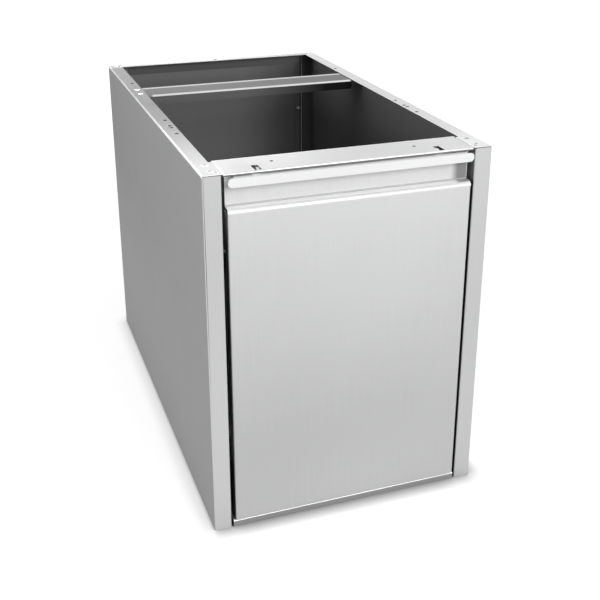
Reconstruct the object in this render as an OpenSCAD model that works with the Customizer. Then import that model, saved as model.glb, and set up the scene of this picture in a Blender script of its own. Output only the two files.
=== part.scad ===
// Stainless steel waste bin cabinet with an open top and a full height pull-out front.
// Millimetres. X runs across the front, Y from front to back, Z up from the floor.
// The origin is on the floor under the middle of the outside box.

/* [Carcass] */
// Outside width over the two side panels
body_w = 400; // [390:5:430]
// Outside depth from the faces of the posts to the back
body_d = 700; // [690:5:760]
// Outside height from the floor to the top flanges
body_h = 522; // [515:1:600]
// Thickness of the carcass sheet
sheet = 1; // [0.8:0.1:1.2]
// Outside radius of a bend in the carcass sheet
bend_r = 2; // [1.6:0.1:2.5]
// Width of each front post
post_w = 25; // [23:0.5:25]
// Depth of the fold that returns from each post into the cabinet
post_return = 16; // [10:1:17]
// Width of the top flange of each side panel
top_flange = 22; // [20:1:24]
// Width of the bottom flange of each side panel
bottom_flange = 45; // [30:1:60]
// Width of the fold at the back of each side panel
rear_return = 40; // [36:1:50]
// Height of the bottom panel's front edge
plinth_h = 10; // [8:1:12]

/* [Top rails] */
// Depth of the front top rail
front_rail_d = 60; // [50:1:60]
// Height of the front top rail's front fold
front_rail_drop = 3.6; // [3.2:0.1:3.6]
// Gap between the front top rail's right end and the flange beside it
rail_gap = 1.3; // [0.5:0.1:1.5]
// Height of the front top rail's rear fold
front_rail_back = 15; // [10:1:20]
// Depth of the rear top rail
rear_rail_d = 18; // [15:1:25]
// Height of the rear top rail's fold
rear_rail_drop = 20; // [15:1:30]
// Distance of the cross rail's front edge from the posts
cross_rail_y = 441; // [440:1:460]
// Depth of the cross rail
cross_rail_d = 60; // [40:1:70]
// Height of the cross rail's folds
cross_rail_drop = 15; // [10:1:20]
// Diameter of the holes that a worktop is fixed through
hole_d = 6; // [4:0.5:7]
// Distance of the flange holes from the outside of the cabinet
hole_inset = 15; // [14:0.5:16]
// Spacing of the two holes in the front top rail
rail_hole_pitch = 200; // [150:5:220]
// Width of the slots in the front top rail
slot_w = 9; // [7:0.5:10]
// Length of the slots in the front top rail
slot_l = 20; // [14:1:22]

/* [Pull-out front] */
// Width of the pull-out front
front_w = 338; // [330:1:340]
// Distance of the front's lower edge from the floor
front_bottom = 12; // [11:0.5:14]
// Distance that the front stands forward of the posts
front_proud = 4; // [2:0.5:5]
// Height of the front's ledge above the floor
ledge_z = 476.5; // [465:0.5:480]
// Outside radius of the front's rounded upper edge
ledge_r = 7; // [5:0.5:8]
// Distance of the finger recess's back wall behind the faces of the posts
recess_y = 10; // [8:0.5:11]
// Height of the grip strip
grip_h = 12; // [10:0.5:16]
// Distance that the grip strip stands forward of the posts
grip_proud = 8; // [6:0.5:12]
// Thickness of the grip strip
grip_t = 1.5; // [1:0.1:2]
// Radius of the grip strip's corners
grip_r = 5.5; // [3:0.5:5.5]

/* [Slides] */
// Length of each telescopic slide
slide_l = 500; // [480:5:500]
// Height of the slides' centre line above the floor
slide_z = 120; // [110:1:125]
// Distance of the slides' front ends behind the faces of the posts
slide_y = 20; // [20:1:24]
// Diameter of the balls in the slides
ball_d = 3.2; // [3:0.1:3.2]
// Number of balls in each row
ball_rows = 6; // [4:1:6]

/* [Tray and bin] */
// Height of the tray's side walls
tray_wall = 130; // [125:1:140]
// Length of the tray
tray_l = 490; // [470:5:490]
// Length of the bin over its rim
bin_l = 368; // [340:2:368]
// Width of the bin over its rim
bin_w = 316; // [280:2:316]
// Height of the bin
bin_h = 363; // [300:1:363]
// Wall thickness of the bin
bin_wall = 2.5; // [2:0.1:3]

/* [Hidden] */
$fn = 48;
steel = [0.78, 0.79, 0.80];
steel_dark = [0.66, 0.67, 0.69];
zinc = [0.72, 0.73, 0.74];
brass = [0.70, 0.66, 0.52];
plastic = [0.21, 0.22, 0.23];

half_w = body_w / 2;
front_y = -(body_d - grip_proud) / 2;
top_in = body_h - sheet;
seam = 0.3;
post_seam = 0.7;
hair = 0.1;

// Lugs that the top flanges have beside the front rail
lug_l = 54;
lug_w = post_w + 2;
rail_left = half_w - lug_w - seam;
rail_right = half_w - lug_w - rail_gap;
tab_reach = half_w - 8;

// Distances of the flange holes from the faces of the posts
hole_group = [199.5, 232.5, 243.5, 276.5, 537];
clinch_front = [[15, 42, 5], [15, 16, 3.2], [20.5, 9, 3.2]];
clinch_cross = [[13.5, cross_rail_y + 16, 4.5], [13.5, cross_rail_y + 46, 4.5]];
clinch_rear = [[12.5, body_d - 9, 3.2], [17, body_d - 16, 3.2]];
clinch_depth = 0.45;

// Back sheet: its distance from the sides, the width of its folded edges and its rivets
back_edge = half_w - 22.5;
back_hem = 12;
rivet_x = half_w - 30;
rivet_z = [110, 261, 412];
rivet_r = 1.6;

// Slots in the front rail, with tongues that are pushed down, and the round holes beside them
slot_x = half_w - 73.5;
slot_y = 3;
tongue_tilt = 9;
rail_hole_y = 33;

// The tabs of the rails lie under the side flanges, this far clear of the ends
tab_clear = 4;

// Half of the length of each rail's folds
rear_leg_half = half_w - 35.5;
cross_leg_half = half_w - top_flange - 1;

// Slide section, measured from the face that is screwed to the support
slide_x = half_w - post_w - 0.5;
slide_t = 12.7;
member_t = 1.2;
outer_half = 22.5;
middle_u = 3.2;
inner_u = 6.4;
race_gap = 0.05;
race_depth = 0.3;
race_r = ball_d / 2 + race_gap;
ball_outer_z = outer_half - member_t + race_depth - race_r;
middle_half = ball_outer_z - race_r + race_depth;
ball_inner_z = middle_half - member_t + race_depth - race_r;
inner_half = ball_inner_z - race_r + race_depth;
ball_outer_u = 7;
ball_inner_u = 9;
cage_t = 0.6;
cage_l = slide_l / 2 - 10;
cage_y = slide_y + slide_l / 4 + 5;
slide_screws = [25, slide_l / 2, slide_l - 25];
tray_screws = [105, slide_l * 0.56, slide_l - 40];
outer_lip_u = 11;
middle_lip_u = 11.2;
cage_outer_u = 1.9;
cage_inner_u = 5.1;
cage_lip = 2.4;
cage_end = 15;
ball_pitch = (cage_l - 2 * cage_end) / (ball_rows - 1);

// Radii of the 4 mm and 5 mm screws, of their holes and of their heads
m4_r = 2;
m4_hole_r = 2.1;
m4_head_r = 4;
m4_head_h = 2.2;
m4_sunk_r = 3.45;
m5_r = 2.5;
m5_hole_r = 2.6;
m5_head_r = 4.6;
m5_head_h = 2.6;
m5_nut_h = 4;

// Hat channel that carries each slide
support_half = 28;
support_foot = 12;
support_y = 18;

// Tray that the bin stands in
tray_x = slide_x - slide_t;
tray_y = 28;
tray_z = 20;
tray_lip = 11;
tray_lip_y = 112;
tray_front_h = 60;
bin_y = 66;
bin_z = tray_z + sheet;
rim_w = 6;
rim_h = 14;
bin_taper = 18;
bin_corner = 28;
bin_floor = bin_wall + 0.5;
stop_y = bin_y + bin_l + 2;
stop_h = 40;
stop_foot = 20;
stop_half = 140;

// Front box
skin_t = 1;
skin_back = 14;
crown_back = 24;
face_y = -front_proud;
front_half = front_w / 2;
front_top = body_h - front_rail_drop - 1;
skin_top = front_top - grip_t;
panel_top = ledge_z - 2.5;
bracket_t = 2;
bracket_x = tray_x - sheet - bracket_t;
bracket_low = 26;
bracket_high = 420;
bracket_foot_y = 100;
bracket_foot_z = 140;
bracket_top_y = 36;
front_screws = [80, 240, 390];
front_screw_x = 150;
front_flange_x = front_screw_x - 11;
side_screws = [[60, 45], [85, 75]];
grip_bar_half = front_half - 9;

// Sets a shape whose depth is counted from the faces of the posts
module at_front() {
    translate([0, front_y, 0]) children();
}

// Turns a right hand shape into the left hand one for a side of -1
module on_side(side) {
    mirror([side < 0 ? 1 : 0, 0, 0]) children();
}

// A rectangle from one corner to the other
module area(x0, x1, y0, y1) {
    translate([x0, y0]) square([x1 - x0, y1 - y0]);
}

// A block from one corner to the other
module block(x0, x1, y0, y1, z0, z1) {
    translate([x0, y0, z0]) cube([x1 - x0, y1 - y0, z1 - z0]);
}

// A section in X and Z drawn out along Y
module along_y(y0, y1) {
    translate([0, y1, 0]) rotate([90, 0, 0]) linear_extrude(y1 - y0) children();
}

// A section in Y and Z drawn out along X
module along_x(x0, x1) {
    translate([x0, 0, 0]) rotate([90, 0, 90]) linear_extrude(x1 - x0) children();
}

// A section in X and Y drawn out along Z
module along_z(z0, z1) {
    translate([0, 0, z0]) linear_extrude(z1 - z0) children();
}

// A quarter of a bend about a centre, in the quadrant given by the two signs
module bend(cx, cy, r, t, qx, qy) {
    translate([cx, cy])
        intersection() {
            difference() {
                circle(r);
                circle(r - t);
            }
            translate([qx > 0 ? 0 : -r, qy > 0 ? 0 : -r]) square(r);
        }
}

// A rod along X between two places
module rod_x(x0, x1, y, z, r) {
    translate([x0, y, z]) rotate([0, 90, 0]) cylinder(h = x1 - x0, r = r);
}

// A rod along Y between two places
module rod_y(y0, y1, x, z, r) {
    translate([x, y0, z]) rotate([-90, 0, 0]) cylinder(h = y1 - y0, r = r);
}

// Plan of the post: its face, the bend at its inner edge and the fold into the cabinet
module post_plan() {
    area(half_w - post_w + bend_r, half_w - bend_r, 0, sheet);
}

module post_return_plan() {
    bend(half_w - post_w + bend_r, bend_r, bend_r, sheet, -1, -1);
    area(half_w - post_w, half_w - post_w + sheet, bend_r, post_return);
}

// Plan of the whole panel between its top and bottom bends
module panel_plan() {
    area(half_w - sheet, half_w, bend_r, body_d - bend_r);
    bend(half_w - bend_r, bend_r, bend_r, sheet, 1, -1);
    post_plan();
    bend(half_w - bend_r, body_d - bend_r, bend_r, sheet, 1, 1);
    area(half_w - rear_return, half_w - bend_r, body_d - sheet, body_d);
}

// Section of the panel with its top and bottom bends
module panel_section() {
    area(half_w - sheet, half_w, bend_r, body_h - bend_r);
    bend(half_w - bend_r, body_h - bend_r, bend_r, sheet, 1, 1);
    bend(half_w - bend_r, bend_r, bend_r, sheet, 1, -1);
    area(half_w - bottom_flange, half_w - bend_r, 0, sheet);
}

// Flat of the top flange, wider beside the front rail
module top_flange_plan() {
    area(half_w - top_flange, half_w - bend_r, lug_l - 1, body_d - bend_r);
    area(half_w - lug_w, half_w - bend_r, seam, lug_l);
}

module clinch_marks(marks) {
    for (m = marks)
        translate([half_w - m[0], m[1], body_h - clinch_depth]) cylinder(h = 1, r = m[2]);
}

module side_panel(side) {
    at_front() color(steel) on_side(side)
        difference() {
            union() {
                along_z(bend_r, body_h - bend_r) panel_plan();
                along_z(0, body_h - sheet - post_seam) post_plan();
                along_z(0, body_h - bend_r - 2 * hair) post_return_plan();
                along_y(bend_r, body_d - bend_r) panel_section();
                along_z(top_in, body_h) top_flange_plan();
            }
            for (y = hole_group)
                translate([half_w - hole_inset, y, top_in - 1]) cylinder(h = 3, d = hole_d);
            clinch_marks(clinch_front);
            clinch_marks(clinch_cross);
            clinch_marks(clinch_rear);
            rivet_holes();
        }
}

module side_panel_left() {
    side_panel(-1);
}

module side_panel_right() {
    side_panel(1);
}

module rivet_holes() {
    for (z = rivet_z)
        rod_y(body_d - 4, body_d + 1, rivet_x, z, rivet_r + hair);
}

// Back sheet with its upright edges folded over
module rear_panel() {
    flat = back_edge - sheet;
    hem_top = body_h - bend_r - rear_rail_drop;
    at_front() color(steel)
        difference() {
            union() {
                block(-flat, flat, body_d - 2 * sheet, body_d - sheet, plinth_h, top_in - seam);
                for (side = [-1, 1])
                    on_side(side) {
                        along_z(plinth_h, hem_top)
                            for (turn = [-1, 1])
                                bend(flat, body_d - 2 * sheet, sheet, sheet - 0.01, 1, turn);
                        block(back_edge - back_hem, flat, body_d - 3 * sheet, body_d - 2 * sheet,
                            plinth_h, hem_top);
                    }
            }
            for (side = [-1, 1])
                on_side(side) rivet_holes();
        }
}

module rear_panel_rivets() {
    at_front() color(zinc)
        for (side = [-1, 1], z = rivet_z)
            on_side(side) {
                rod_y(body_d - 3 * sheet - hair, body_d - hair, rivet_x, z, rivet_r);
                translate([rivet_x, body_d - 3 * sheet, z])
                    rotate([90, 0, 0]) cylinder(h = 1.3, r1 = 2 * rivet_r, r2 = rivet_r + 0.6);
            }
}

// Floor sheet, folded down all round and notched at the posts
module bottom_panel() {
    wide = half_w - sheet - hair;
    narrow = half_w - post_w - 3;
    notch_y = post_return + 2;
    corner_y = body_d - bend_r;
    floor_in = plinth_h - sheet;
    at_front() color(steel) {
        along_x(-narrow, narrow) {
            area(0, sheet, 0, plinth_h - bend_r);
            bend(bend_r, plinth_h - bend_r, bend_r, sheet, -1, 1);
            area(bend_r, notch_y + 1, floor_in, plinth_h);
        }
        block(-wide, wide, notch_y, corner_y, floor_in, plinth_h);
        block(-wide + sheet, wide - sheet, corner_y - 1, body_d - sheet, floor_in, plinth_h);
        for (side = [-1, 1])
            on_side(side) block(wide - sheet, wide, notch_y, corner_y, bend_r, plinth_h - sheet / 2);
        block(bottom_flange - wide, wide - bottom_flange, corner_y, body_d - sheet,
            sheet, plinth_h - sheet / 2);
    }
}

// A tongue cut from a slot and pushed down at its front end
module slot_tongue(x) {
    tongue_l = slot_l - 4;
    translate([x, slot_y + slot_l, top_in])
        rotate([tongue_tilt, 0, 0])
            translate([0, -tongue_l, 0]) cube([slot_w / 2, tongue_l + 0.4, sheet * 0.9]);
}

module front_top_rail() {
    y1 = front_rail_d;
    at_front() color(steel) {
        difference() {
            union() {
                along_x(-rail_left, rail_right) {
                    area(0, sheet, body_h - front_rail_drop, body_h - bend_r);
                    bend(bend_r, body_h - bend_r, bend_r, sheet, -1, 1);
                    area(bend_r, y1 - bend_r, top_in, body_h);
                    bend(y1 - bend_r, body_h - bend_r, bend_r, sheet, 1, 1);
                    area(y1 - sheet, y1, body_h - front_rail_back, body_h - bend_r);
                }
                for (side = [-1, 1])
                    on_side(side) {
                        end = side < 0 ? rail_left : rail_right;
                        block(end - 2, tab_reach, tab_clear, lug_l - tab_clear, top_in - sheet, top_in);
                        block(end - 2, end, tab_clear, lug_l - tab_clear, top_in - sheet, top_in + sheet / 2);
                    }
            }
            for (side = [-1, 1])
                on_side(side) {
                    translate([rail_hole_pitch / 2, rail_hole_y, top_in - 2])
                        cylinder(h = 4, d = hole_d - 1);
                    block(slot_x - slot_w / 2, slot_x + slot_w / 2, slot_y, slot_y + slot_l,
                        top_in - 2, body_h + 1);
                }
        }
        slot_tongue(-slot_x + 0.2);
        slot_tongue(slot_x - slot_w / 2 + 0.2);
    }
}

module rear_top_rail() {
    y0 = body_d - bend_r - rear_rail_d;
    y1 = body_d - 2 * sheet;
    bend_y = y1 - bend_r;
    leg = rear_leg_half;
    at_front() color(steel)
        difference() {
            union() {
                block(-half_w + top_flange + seam, half_w - top_flange - seam, y0, bend_y, top_in, body_h);
                along_x(-leg, leg) {
                    bend(bend_y, body_h - bend_r, bend_r, sheet, 1, 1);
                    area(y1 - sheet, y1, body_h - rear_rail_drop, body_h - bend_r);
                    area(bend_y - 1, bend_y, top_in, body_h);
                }
                for (side = [-1, 1])
                    on_side(side) {
                        block(leg, tab_reach, y0 + 2, bend_y - 1, top_in - sheet, top_in);
                        block(leg, leg + 6, y0 + 2, bend_y - 1, top_in - sheet, top_in + sheet / 2);
                    }
            }
            translate([0, (y0 + y1) / 2, top_in - 2]) cylinder(h = 4, d = hole_d);
        }
}

module cross_rail() {
    y0 = cross_rail_y;
    y1 = cross_rail_y + cross_rail_d;
    fold_z = top_in - bend_r;
    at_front() color(steel_dark) {
        along_x(-cross_leg_half, cross_leg_half) {
            area(y0, y0 + sheet, top_in - cross_rail_drop, fold_z);
            bend(y0 + bend_r, fold_z, bend_r, sheet, -1, 1);
            area(y0 + bend_r, y1 - bend_r, top_in - sheet, top_in);
            bend(y1 - bend_r, fold_z, bend_r, sheet, 1, 1);
            area(y1 - sheet, y1, top_in - cross_rail_drop, fold_z);
        }
        block(-tab_reach, tab_reach, y0 + tab_clear, y1 - tab_clear, top_in - sheet, top_in);
    }
}

// Hat channel between the post and the back, open towards the side panel
module slide_support(side) {
    x0 = slide_x;
    x1 = half_w - sheet;
    y1 = body_d - 3 * sheet - 1;
    at_front() color(steel_dark) on_side(side)
        difference() {
            along_y(support_y, y1) {
                area(x0, x0 + sheet, slide_z - support_half + bend_r, slide_z + support_half - bend_r);
                translate([0, slide_z])
                    for (turn = [0, 1])
                        mirror([0, turn]) {
                            bend(x0 + bend_r, support_half - bend_r, bend_r, sheet, -1, 1);
                            area(x0 + bend_r, x1, support_half - sheet, support_half);
                            area(x1 - sheet, x1, support_half - sheet, support_half + support_foot);
                        }
            }
            for (y = slide_screws)
                rod_x(x0 - 1, x0 + 3, slide_y + y, slide_z, m4_hole_r);
        }
}

module slide_support_left() {
    slide_support(-1);
}

module slide_support_right() {
    slide_support(1);
}

// Places a slide section that is drawn from the support's face inwards
module slide_run(side, y0, y1) {
    at_front() on_side(side)
        translate([slide_x, 0, slide_z]) mirror([1, 0, 0]) along_y(y0, y1) children();
}

module channel_section(u_web, u_end, half) {
    web_in = u_web < u_end ? u_web + member_t : u_web - member_t;
    area(min(u_web, web_in), max(u_web, web_in), -half, half);
    for (s = [-1, 1])
        area(min(u_web, u_end), max(u_web, u_end), s > 0 ? half - member_t : -half,
            s > 0 ? half : member_t - half);
}

module race(u, z) {
    for (s = [-1, 1])
        translate([u, s * z]) circle(race_r);
}

module slide_outer(side) {
    color(zinc)
        difference() {
            slide_run(side, slide_y, slide_y + slide_l)
                difference() {
                    channel_section(0, outer_lip_u, outer_half);
                    race(ball_outer_u, ball_outer_z);
                }
            at_front() on_side(side)
                for (y = slide_screws)
                    translate([slide_x - member_t - 0.01, slide_y + y, slide_z]) rotate([0, 90, 0])
                        cylinder(h = member_t + 0.02, r1 = m4_sunk_r + 0.15, r2 = m4_hole_r + 0.1);
        }
}

module slide_outer_left() {
    slide_outer(-1);
}

module slide_outer_right() {
    slide_outer(1);
}

module slide_middle(side) {
    color(zinc)
        slide_run(side, slide_y, slide_y + slide_l)
            difference() {
                channel_section(middle_u, middle_lip_u, middle_half);
                race(ball_outer_u, ball_outer_z);
                race(ball_inner_u, ball_inner_z);
            }
}

module slide_middle_left() {
    slide_middle(-1);
}

module slide_middle_right() {
    slide_middle(1);
}

module slide_inner(side) {
    color(zinc)
        difference() {
            slide_run(side, slide_y, slide_y + slide_l)
                difference() {
                    channel_section(slide_t, inner_u, inner_half);
                    race(ball_inner_u, ball_inner_z);
                }
            at_front() on_side(side)
                for (y = tray_screws)
                    rod_x(tray_x - 1, tray_x + 3, slide_y + y, slide_z, m4_hole_r);
        }
}

module slide_inner_left() {
    slide_inner(-1);
}

module slide_inner_right() {
    slide_inner(1);
}

// Strip that keeps two rows of balls apart
module ball_cage(side, u0, ball_u, ball_z) {
    reach = ball_z + cage_t / 2;
    u1 = ball_u + cage_lip;
    color(brass)
        difference() {
            slide_run(side, cage_y, cage_y + cage_l) {
                area(u0, u0 + cage_t, -reach, reach);
                for (s = [-1, 1])
                    area(u0, u1, s > 0 ? reach - cage_t : -reach, s > 0 ? reach : cage_t - reach);
            }
            at_front() on_side(side)
                for (i = [0:ball_rows - 1])
                    translate([slide_x - ball_u, cage_y + cage_end + i * ball_pitch, slide_z - outer_half])
                        cylinder(h = 2 * outer_half, r = race_r + race_gap);
        }
}

module outer_ball_cage_left() {
    ball_cage(-1, cage_outer_u, ball_outer_u, ball_outer_z);
}

module outer_ball_cage_right() {
    ball_cage(1, cage_outer_u, ball_outer_u, ball_outer_z);
}

module inner_ball_cage_left() {
    ball_cage(-1, cage_inner_u, ball_inner_u, ball_inner_z);
}

module inner_ball_cage_right() {
    ball_cage(1, cage_inner_u, ball_inner_u, ball_inner_z);
}

module balls(side, ball_u, ball_z) {
    at_front() color(zinc) on_side(side)
        for (i = [0:ball_rows - 1], s = [-1, 1])
            translate([slide_x - ball_u, cage_y + cage_end + i * ball_pitch, slide_z + s * ball_z])
                sphere(d = ball_d, $fn = 24);
}

module outer_balls_left() {
    balls(-1, ball_outer_u, ball_outer_z);
}

module outer_balls_right() {
    balls(1, ball_outer_u, ball_outer_z);
}

module inner_balls_left() {
    balls(-1, ball_inner_u, ball_inner_z);
}

module inner_balls_right() {
    balls(1, ball_inner_u, ball_inner_z);
}

// Flat head screws that hold the outer member to its support
module slide_screws_of(side) {
    at_front() color(zinc) on_side(side)
        for (y = slide_screws) {
            translate([slide_x - member_t + 0.05, slide_y + y, slide_z]) rotate([0, 90, 0])
                cylinder(h = member_t - 0.05, r1 = m4_sunk_r, r2 = m4_r + 0.05);
            rod_x(slide_x - 0.2, slide_x + 7, slide_y + y, slide_z, m4_r);
        }
}

module slide_screws_left() {
    slide_screws_of(-1);
}

module slide_screws_right() {
    slide_screws_of(1);
}

// Screws from inside the tray into the inner member
module tray_screws_of(side) {
    at_front() color(zinc) on_side(side)
        for (y = tray_screws) {
            rod_x(tray_x - sheet - m4_head_h, tray_x - sheet, slide_y + y, slide_z, m4_head_r);
            rod_x(tray_x - sheet - 0.2, tray_x + 3.7, slide_y + y, slide_z, m4_r);
        }
}

module tray_screws_left() {
    tray_screws_of(-1);
}

module tray_screws_right() {
    tray_screws_of(1);
}

module bin_tray() {
    wall_x = tray_x - sheet;
    top = tray_z + tray_wall;
    back = tray_y + tray_l;
    at_front() color(steel)
        difference() {
            union() {
                along_y(tray_y, back) {
                    area(-tray_x + bend_r, tray_x - bend_r, tray_z, tray_z + sheet);
                    for (s = [-1, 1]) {
                        bend(s * (tray_x - bend_r), tray_z + bend_r, bend_r, sheet, s, -1);
                        area(s > 0 ? wall_x : -tray_x, s > 0 ? tray_x : -wall_x,
                            tray_z + bend_r, top - bend_r);
                    }
                }
                along_y(tray_lip_y, back)
                    for (s = [-1, 1]) {
                        bend(s * (tray_x - bend_r), top - bend_r, bend_r, sheet, s, 1);
                        area(s > 0 ? tray_x - tray_lip : bend_r - tray_x,
                            s > 0 ? tray_x - bend_r : tray_lip - tray_x, top - sheet, top);
                    }
                block(-wall_x - sheet / 2, wall_x + sheet / 2, back - sheet, back,
                    tray_z + bend_r, top - bend_r);
                block(-wall_x + bend_r, wall_x - bend_r, back - sheet, back, tray_z, tray_z + bend_r + 1);
                block(-bracket_x + 2, bracket_x - 2, tray_y, tray_y + sheet, tray_z, tray_z + tray_front_h);
            }
            for (side = [-1, 1])
                on_side(side) {
                    for (y = tray_screws)
                        rod_x(tray_x - 3, tray_x + 1, slide_y + y, slide_z, m4_hole_r);
                    for (p = side_screws)
                        rod_x(tray_x - 3, tray_x + 1, p[0], p[1], m5_hole_r);
                }
        }
}

// Angle across the tray that keeps the bin forward
module bin_stop() {
    at_front() color(steel)
        along_x(-stop_half, stop_half) {
            area(stop_y, stop_y + sheet, bin_z + bend_r, bin_z + stop_h);
            bend(stop_y + bend_r, bin_z + bend_r, bend_r, sheet, -1, -1);
            area(stop_y + bend_r, stop_y + stop_foot, bin_z, bin_z + sheet);
        }
}

// Upright angle that ties the front to the side of the tray
module front_bracket(side) {
    x1 = tray_x - sheet;
    at_front() color(steel_dark) on_side(side)
        difference() {
            union() {
                block(front_flange_x, x1, skin_back, skin_back + bracket_t, bracket_low, bracket_high);
                along_x(bracket_x, x1)
                    polygon([[skin_back, bracket_low], [bracket_foot_y, bracket_low],
                        [bracket_foot_y, bracket_foot_z], [bracket_top_y, bracket_high],
                        [skin_back, bracket_high]]);
            }
            for (z = front_screws)
                rod_y(skin_back - 1, skin_back + 4, front_screw_x, z, m5_hole_r);
            for (p = side_screws)
                rod_x(bracket_x - 1, x1 + 1, p[0], p[1], m5_hole_r);
        }
}

module front_bracket_left() {
    front_bracket(-1);
}

module front_bracket_right() {
    front_bracket(1);
}

// Button head screws from the brackets into the front
module front_bracket_screws() {
    at_front() color(zinc)
        for (side = [-1, 1], z = front_screws)
            on_side(side) {
                rod_y(skin_back - 6, skin_back + bracket_t + 0.2, front_screw_x, z, m5_r);
                translate([front_screw_x, skin_back + bracket_t, z])
                    rotate([-90, 0, 0]) cylinder(h = m5_head_h, r1 = m5_head_r, r2 = m5_r + 0.5);
            }
}

// Screws and nuts that hold the brackets to the sides of the tray
module tray_bracket_screws() {
    at_front() color(zinc)
        for (side = [-1, 1], p = side_screws)
            on_side(side) {
                rod_x(bracket_x - m5_head_h, bracket_x, p[0], p[1], m5_head_r);
                rod_x(bracket_x - 0.2, tray_x + m5_nut_h + 1, p[0], p[1], m5_r);
                translate([tray_x, p[0], p[1]])
                    rotate([0, 90, 0]) cylinder(h = m5_nut_h, r = m5_head_r, $fn = 6);
            }
}

// Section of the front's upper part: rounded edge, ledge, recess wall and top fold
module front_crown_section() {
    bend(face_y + ledge_r, ledge_z - ledge_r, ledge_r, skin_t, -1, 1);
    area(face_y + ledge_r, recess_y - bend_r + skin_t, ledge_z - skin_t, ledge_z);
    bend(recess_y + skin_t - bend_r, ledge_z - skin_t + bend_r, bend_r, skin_t, 1, -1);
    area(recess_y, recess_y + skin_t, ledge_z - skin_t + bend_r, skin_top - bend_r);
    bend(recess_y + bend_r, skin_top - bend_r, bend_r, skin_t, -1, 1);
    area(recess_y + bend_r, crown_back, skin_top - skin_t, skin_top);
}

module front_skin() {
    low = front_bottom + bend_r;
    high = ledge_z - ledge_r;
    at_front() color(steel) {
        along_x(-front_half, front_half) front_crown_section();
        along_x(-front_half + bend_r, front_half - bend_r) {
            area(face_y, face_y + skin_t, low, high);
            bend(face_y + bend_r, low, bend_r, skin_t, -1, -1);
            area(face_y + bend_r, skin_back, front_bottom, front_bottom + skin_t);
        }
        for (side = [-1, 1])
            on_side(side)
                along_z(low, high) {
                    bend(front_half - bend_r, face_y + bend_r, bend_r, skin_t, 1, -1);
                    area(front_half - skin_t, front_half, face_y + bend_r, skin_back);
                }
    }
}

// Flat sheet that closes the back of the front
module front_inner_panel() {
    half = front_half - skin_t - hair;
    at_front() color(steel)
        difference() {
            block(-half, half, skin_back - skin_t, skin_back, front_bottom + skin_t + hair, panel_top);
            for (side = [-1, 1], z = front_screws)
                on_side(side) rod_y(skin_back - 3, skin_back + 1, front_screw_x, z, m5_hole_r);
        }
}

// Outline of the grip strip with its rounded corners
module grip_outline() {
    z0 = front_top - grip_h;
    area(-front_half + grip_r, front_half - grip_r, z0, front_top);
    area(-front_half, front_half, z0 + grip_r, front_top - grip_r);
    for (s = [-1, 1], z = [z0 + grip_r, front_top - grip_r])
        translate([s * (front_half - grip_r), z]) circle(grip_r);
}

module grip_strip() {
    at_front() color(steel) {
        along_y(-grip_proud, -grip_proud + grip_t) grip_outline();
        block(-grip_bar_half, grip_bar_half, grip_t / 2 - grip_proud, crown_back, skin_top, front_top);
    }
}

// Solid block with rounded upright edges that widens towards the top
module tub(l0, w0, l1, w1, z0, z1, r0, r1) {
    hull() {
        for (sx = [-1, 1], sy = [-1, 1]) {
            translate([sx * (w0 / 2 - r0), sy * (l0 / 2 - r0), z0])
                cylinder(h = 0.01, r = r0, $fn = 40);
            translate([sx * (w1 / 2 - r1), sy * (l1 / 2 - r1), z1 - 0.01])
                cylinder(h = 0.01, r = r1, $fn = 40);
        }
    }
}

module rounded_plan(l, w, r) {
    area(-w / 2 + r, w / 2 - r, -l / 2, l / 2);
    area(-w / 2, w / 2, -l / 2 + r, l / 2 - r);
    for (sx = [-1, 1], sy = [-1, 1])
        translate([sx * (w / 2 - r), sy * (l / 2 - r)]) circle(r);
}

module waste_bin() {
    tub_l = bin_l - 2 * rim_w;
    tub_w = bin_w - 2 * rim_w;
    foot_l = tub_l - 2 * bin_taper;
    foot_w = tub_w - 2 * bin_taper;
    foot_r = bin_corner - 4;
    rim_r = bin_corner + rim_w;
    top = bin_z + bin_h;
    both = 2 * bin_wall;
    at_front() color(plastic)
        translate([0, bin_y + bin_l / 2, 0])
            difference() {
                union() {
                    tub(foot_l, foot_w, tub_l, tub_w, bin_z, top, foot_r, bin_corner);
                    along_z(top - rim_h, top)
                        difference() {
                            rounded_plan(bin_l, bin_w, rim_r);
                            rounded_plan(bin_l - both, bin_w - both, rim_r - bin_wall);
                        }
                    along_z(top - bin_wall, top) rounded_plan(bin_l - 2, bin_w - 2, rim_r - 1);
                }
                tub(foot_l - both, foot_w - both, tub_l - both, tub_w - both, bin_z + bin_floor, top + 1,
                    foot_r - bin_wall, bin_corner - bin_wall);
            }
}

side_panel_left();
side_panel_right();
rear_panel();
rear_panel_rivets();
bottom_panel();
front_top_rail();
rear_top_rail();
cross_rail();
slide_support_left();
slide_support_right();
slide_outer_left();
slide_outer_right();
slide_middle_left();
slide_middle_right();
slide_inner_left();
slide_inner_right();
outer_ball_cage_left();
outer_ball_cage_right();
inner_ball_cage_left();
inner_ball_cage_right();
outer_balls_left();
outer_balls_right();
inner_balls_left();
inner_balls_right();
slide_screws_left();
slide_screws_right();
tray_screws_left();
tray_screws_right();
bin_tray();
bin_stop();
front_bracket_left();
front_bracket_right();
front_bracket_screws();
tray_bracket_screws();
front_skin();
front_inner_panel();
grip_strip();
waste_bin();
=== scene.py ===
"""Looks of the stainless waste bin cabinet: finishes, fine sheet details, small fittings and studio.

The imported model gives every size. X runs across the front, Y to the back and Z up. The scene is in metres,
and the sizes of zones and fittings are in millimetres, with depths counted from the faces of the posts.
"""
import logging
import math
from dataclasses import dataclass
from enum import Enum
from typing import Iterable, Sequence

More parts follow.
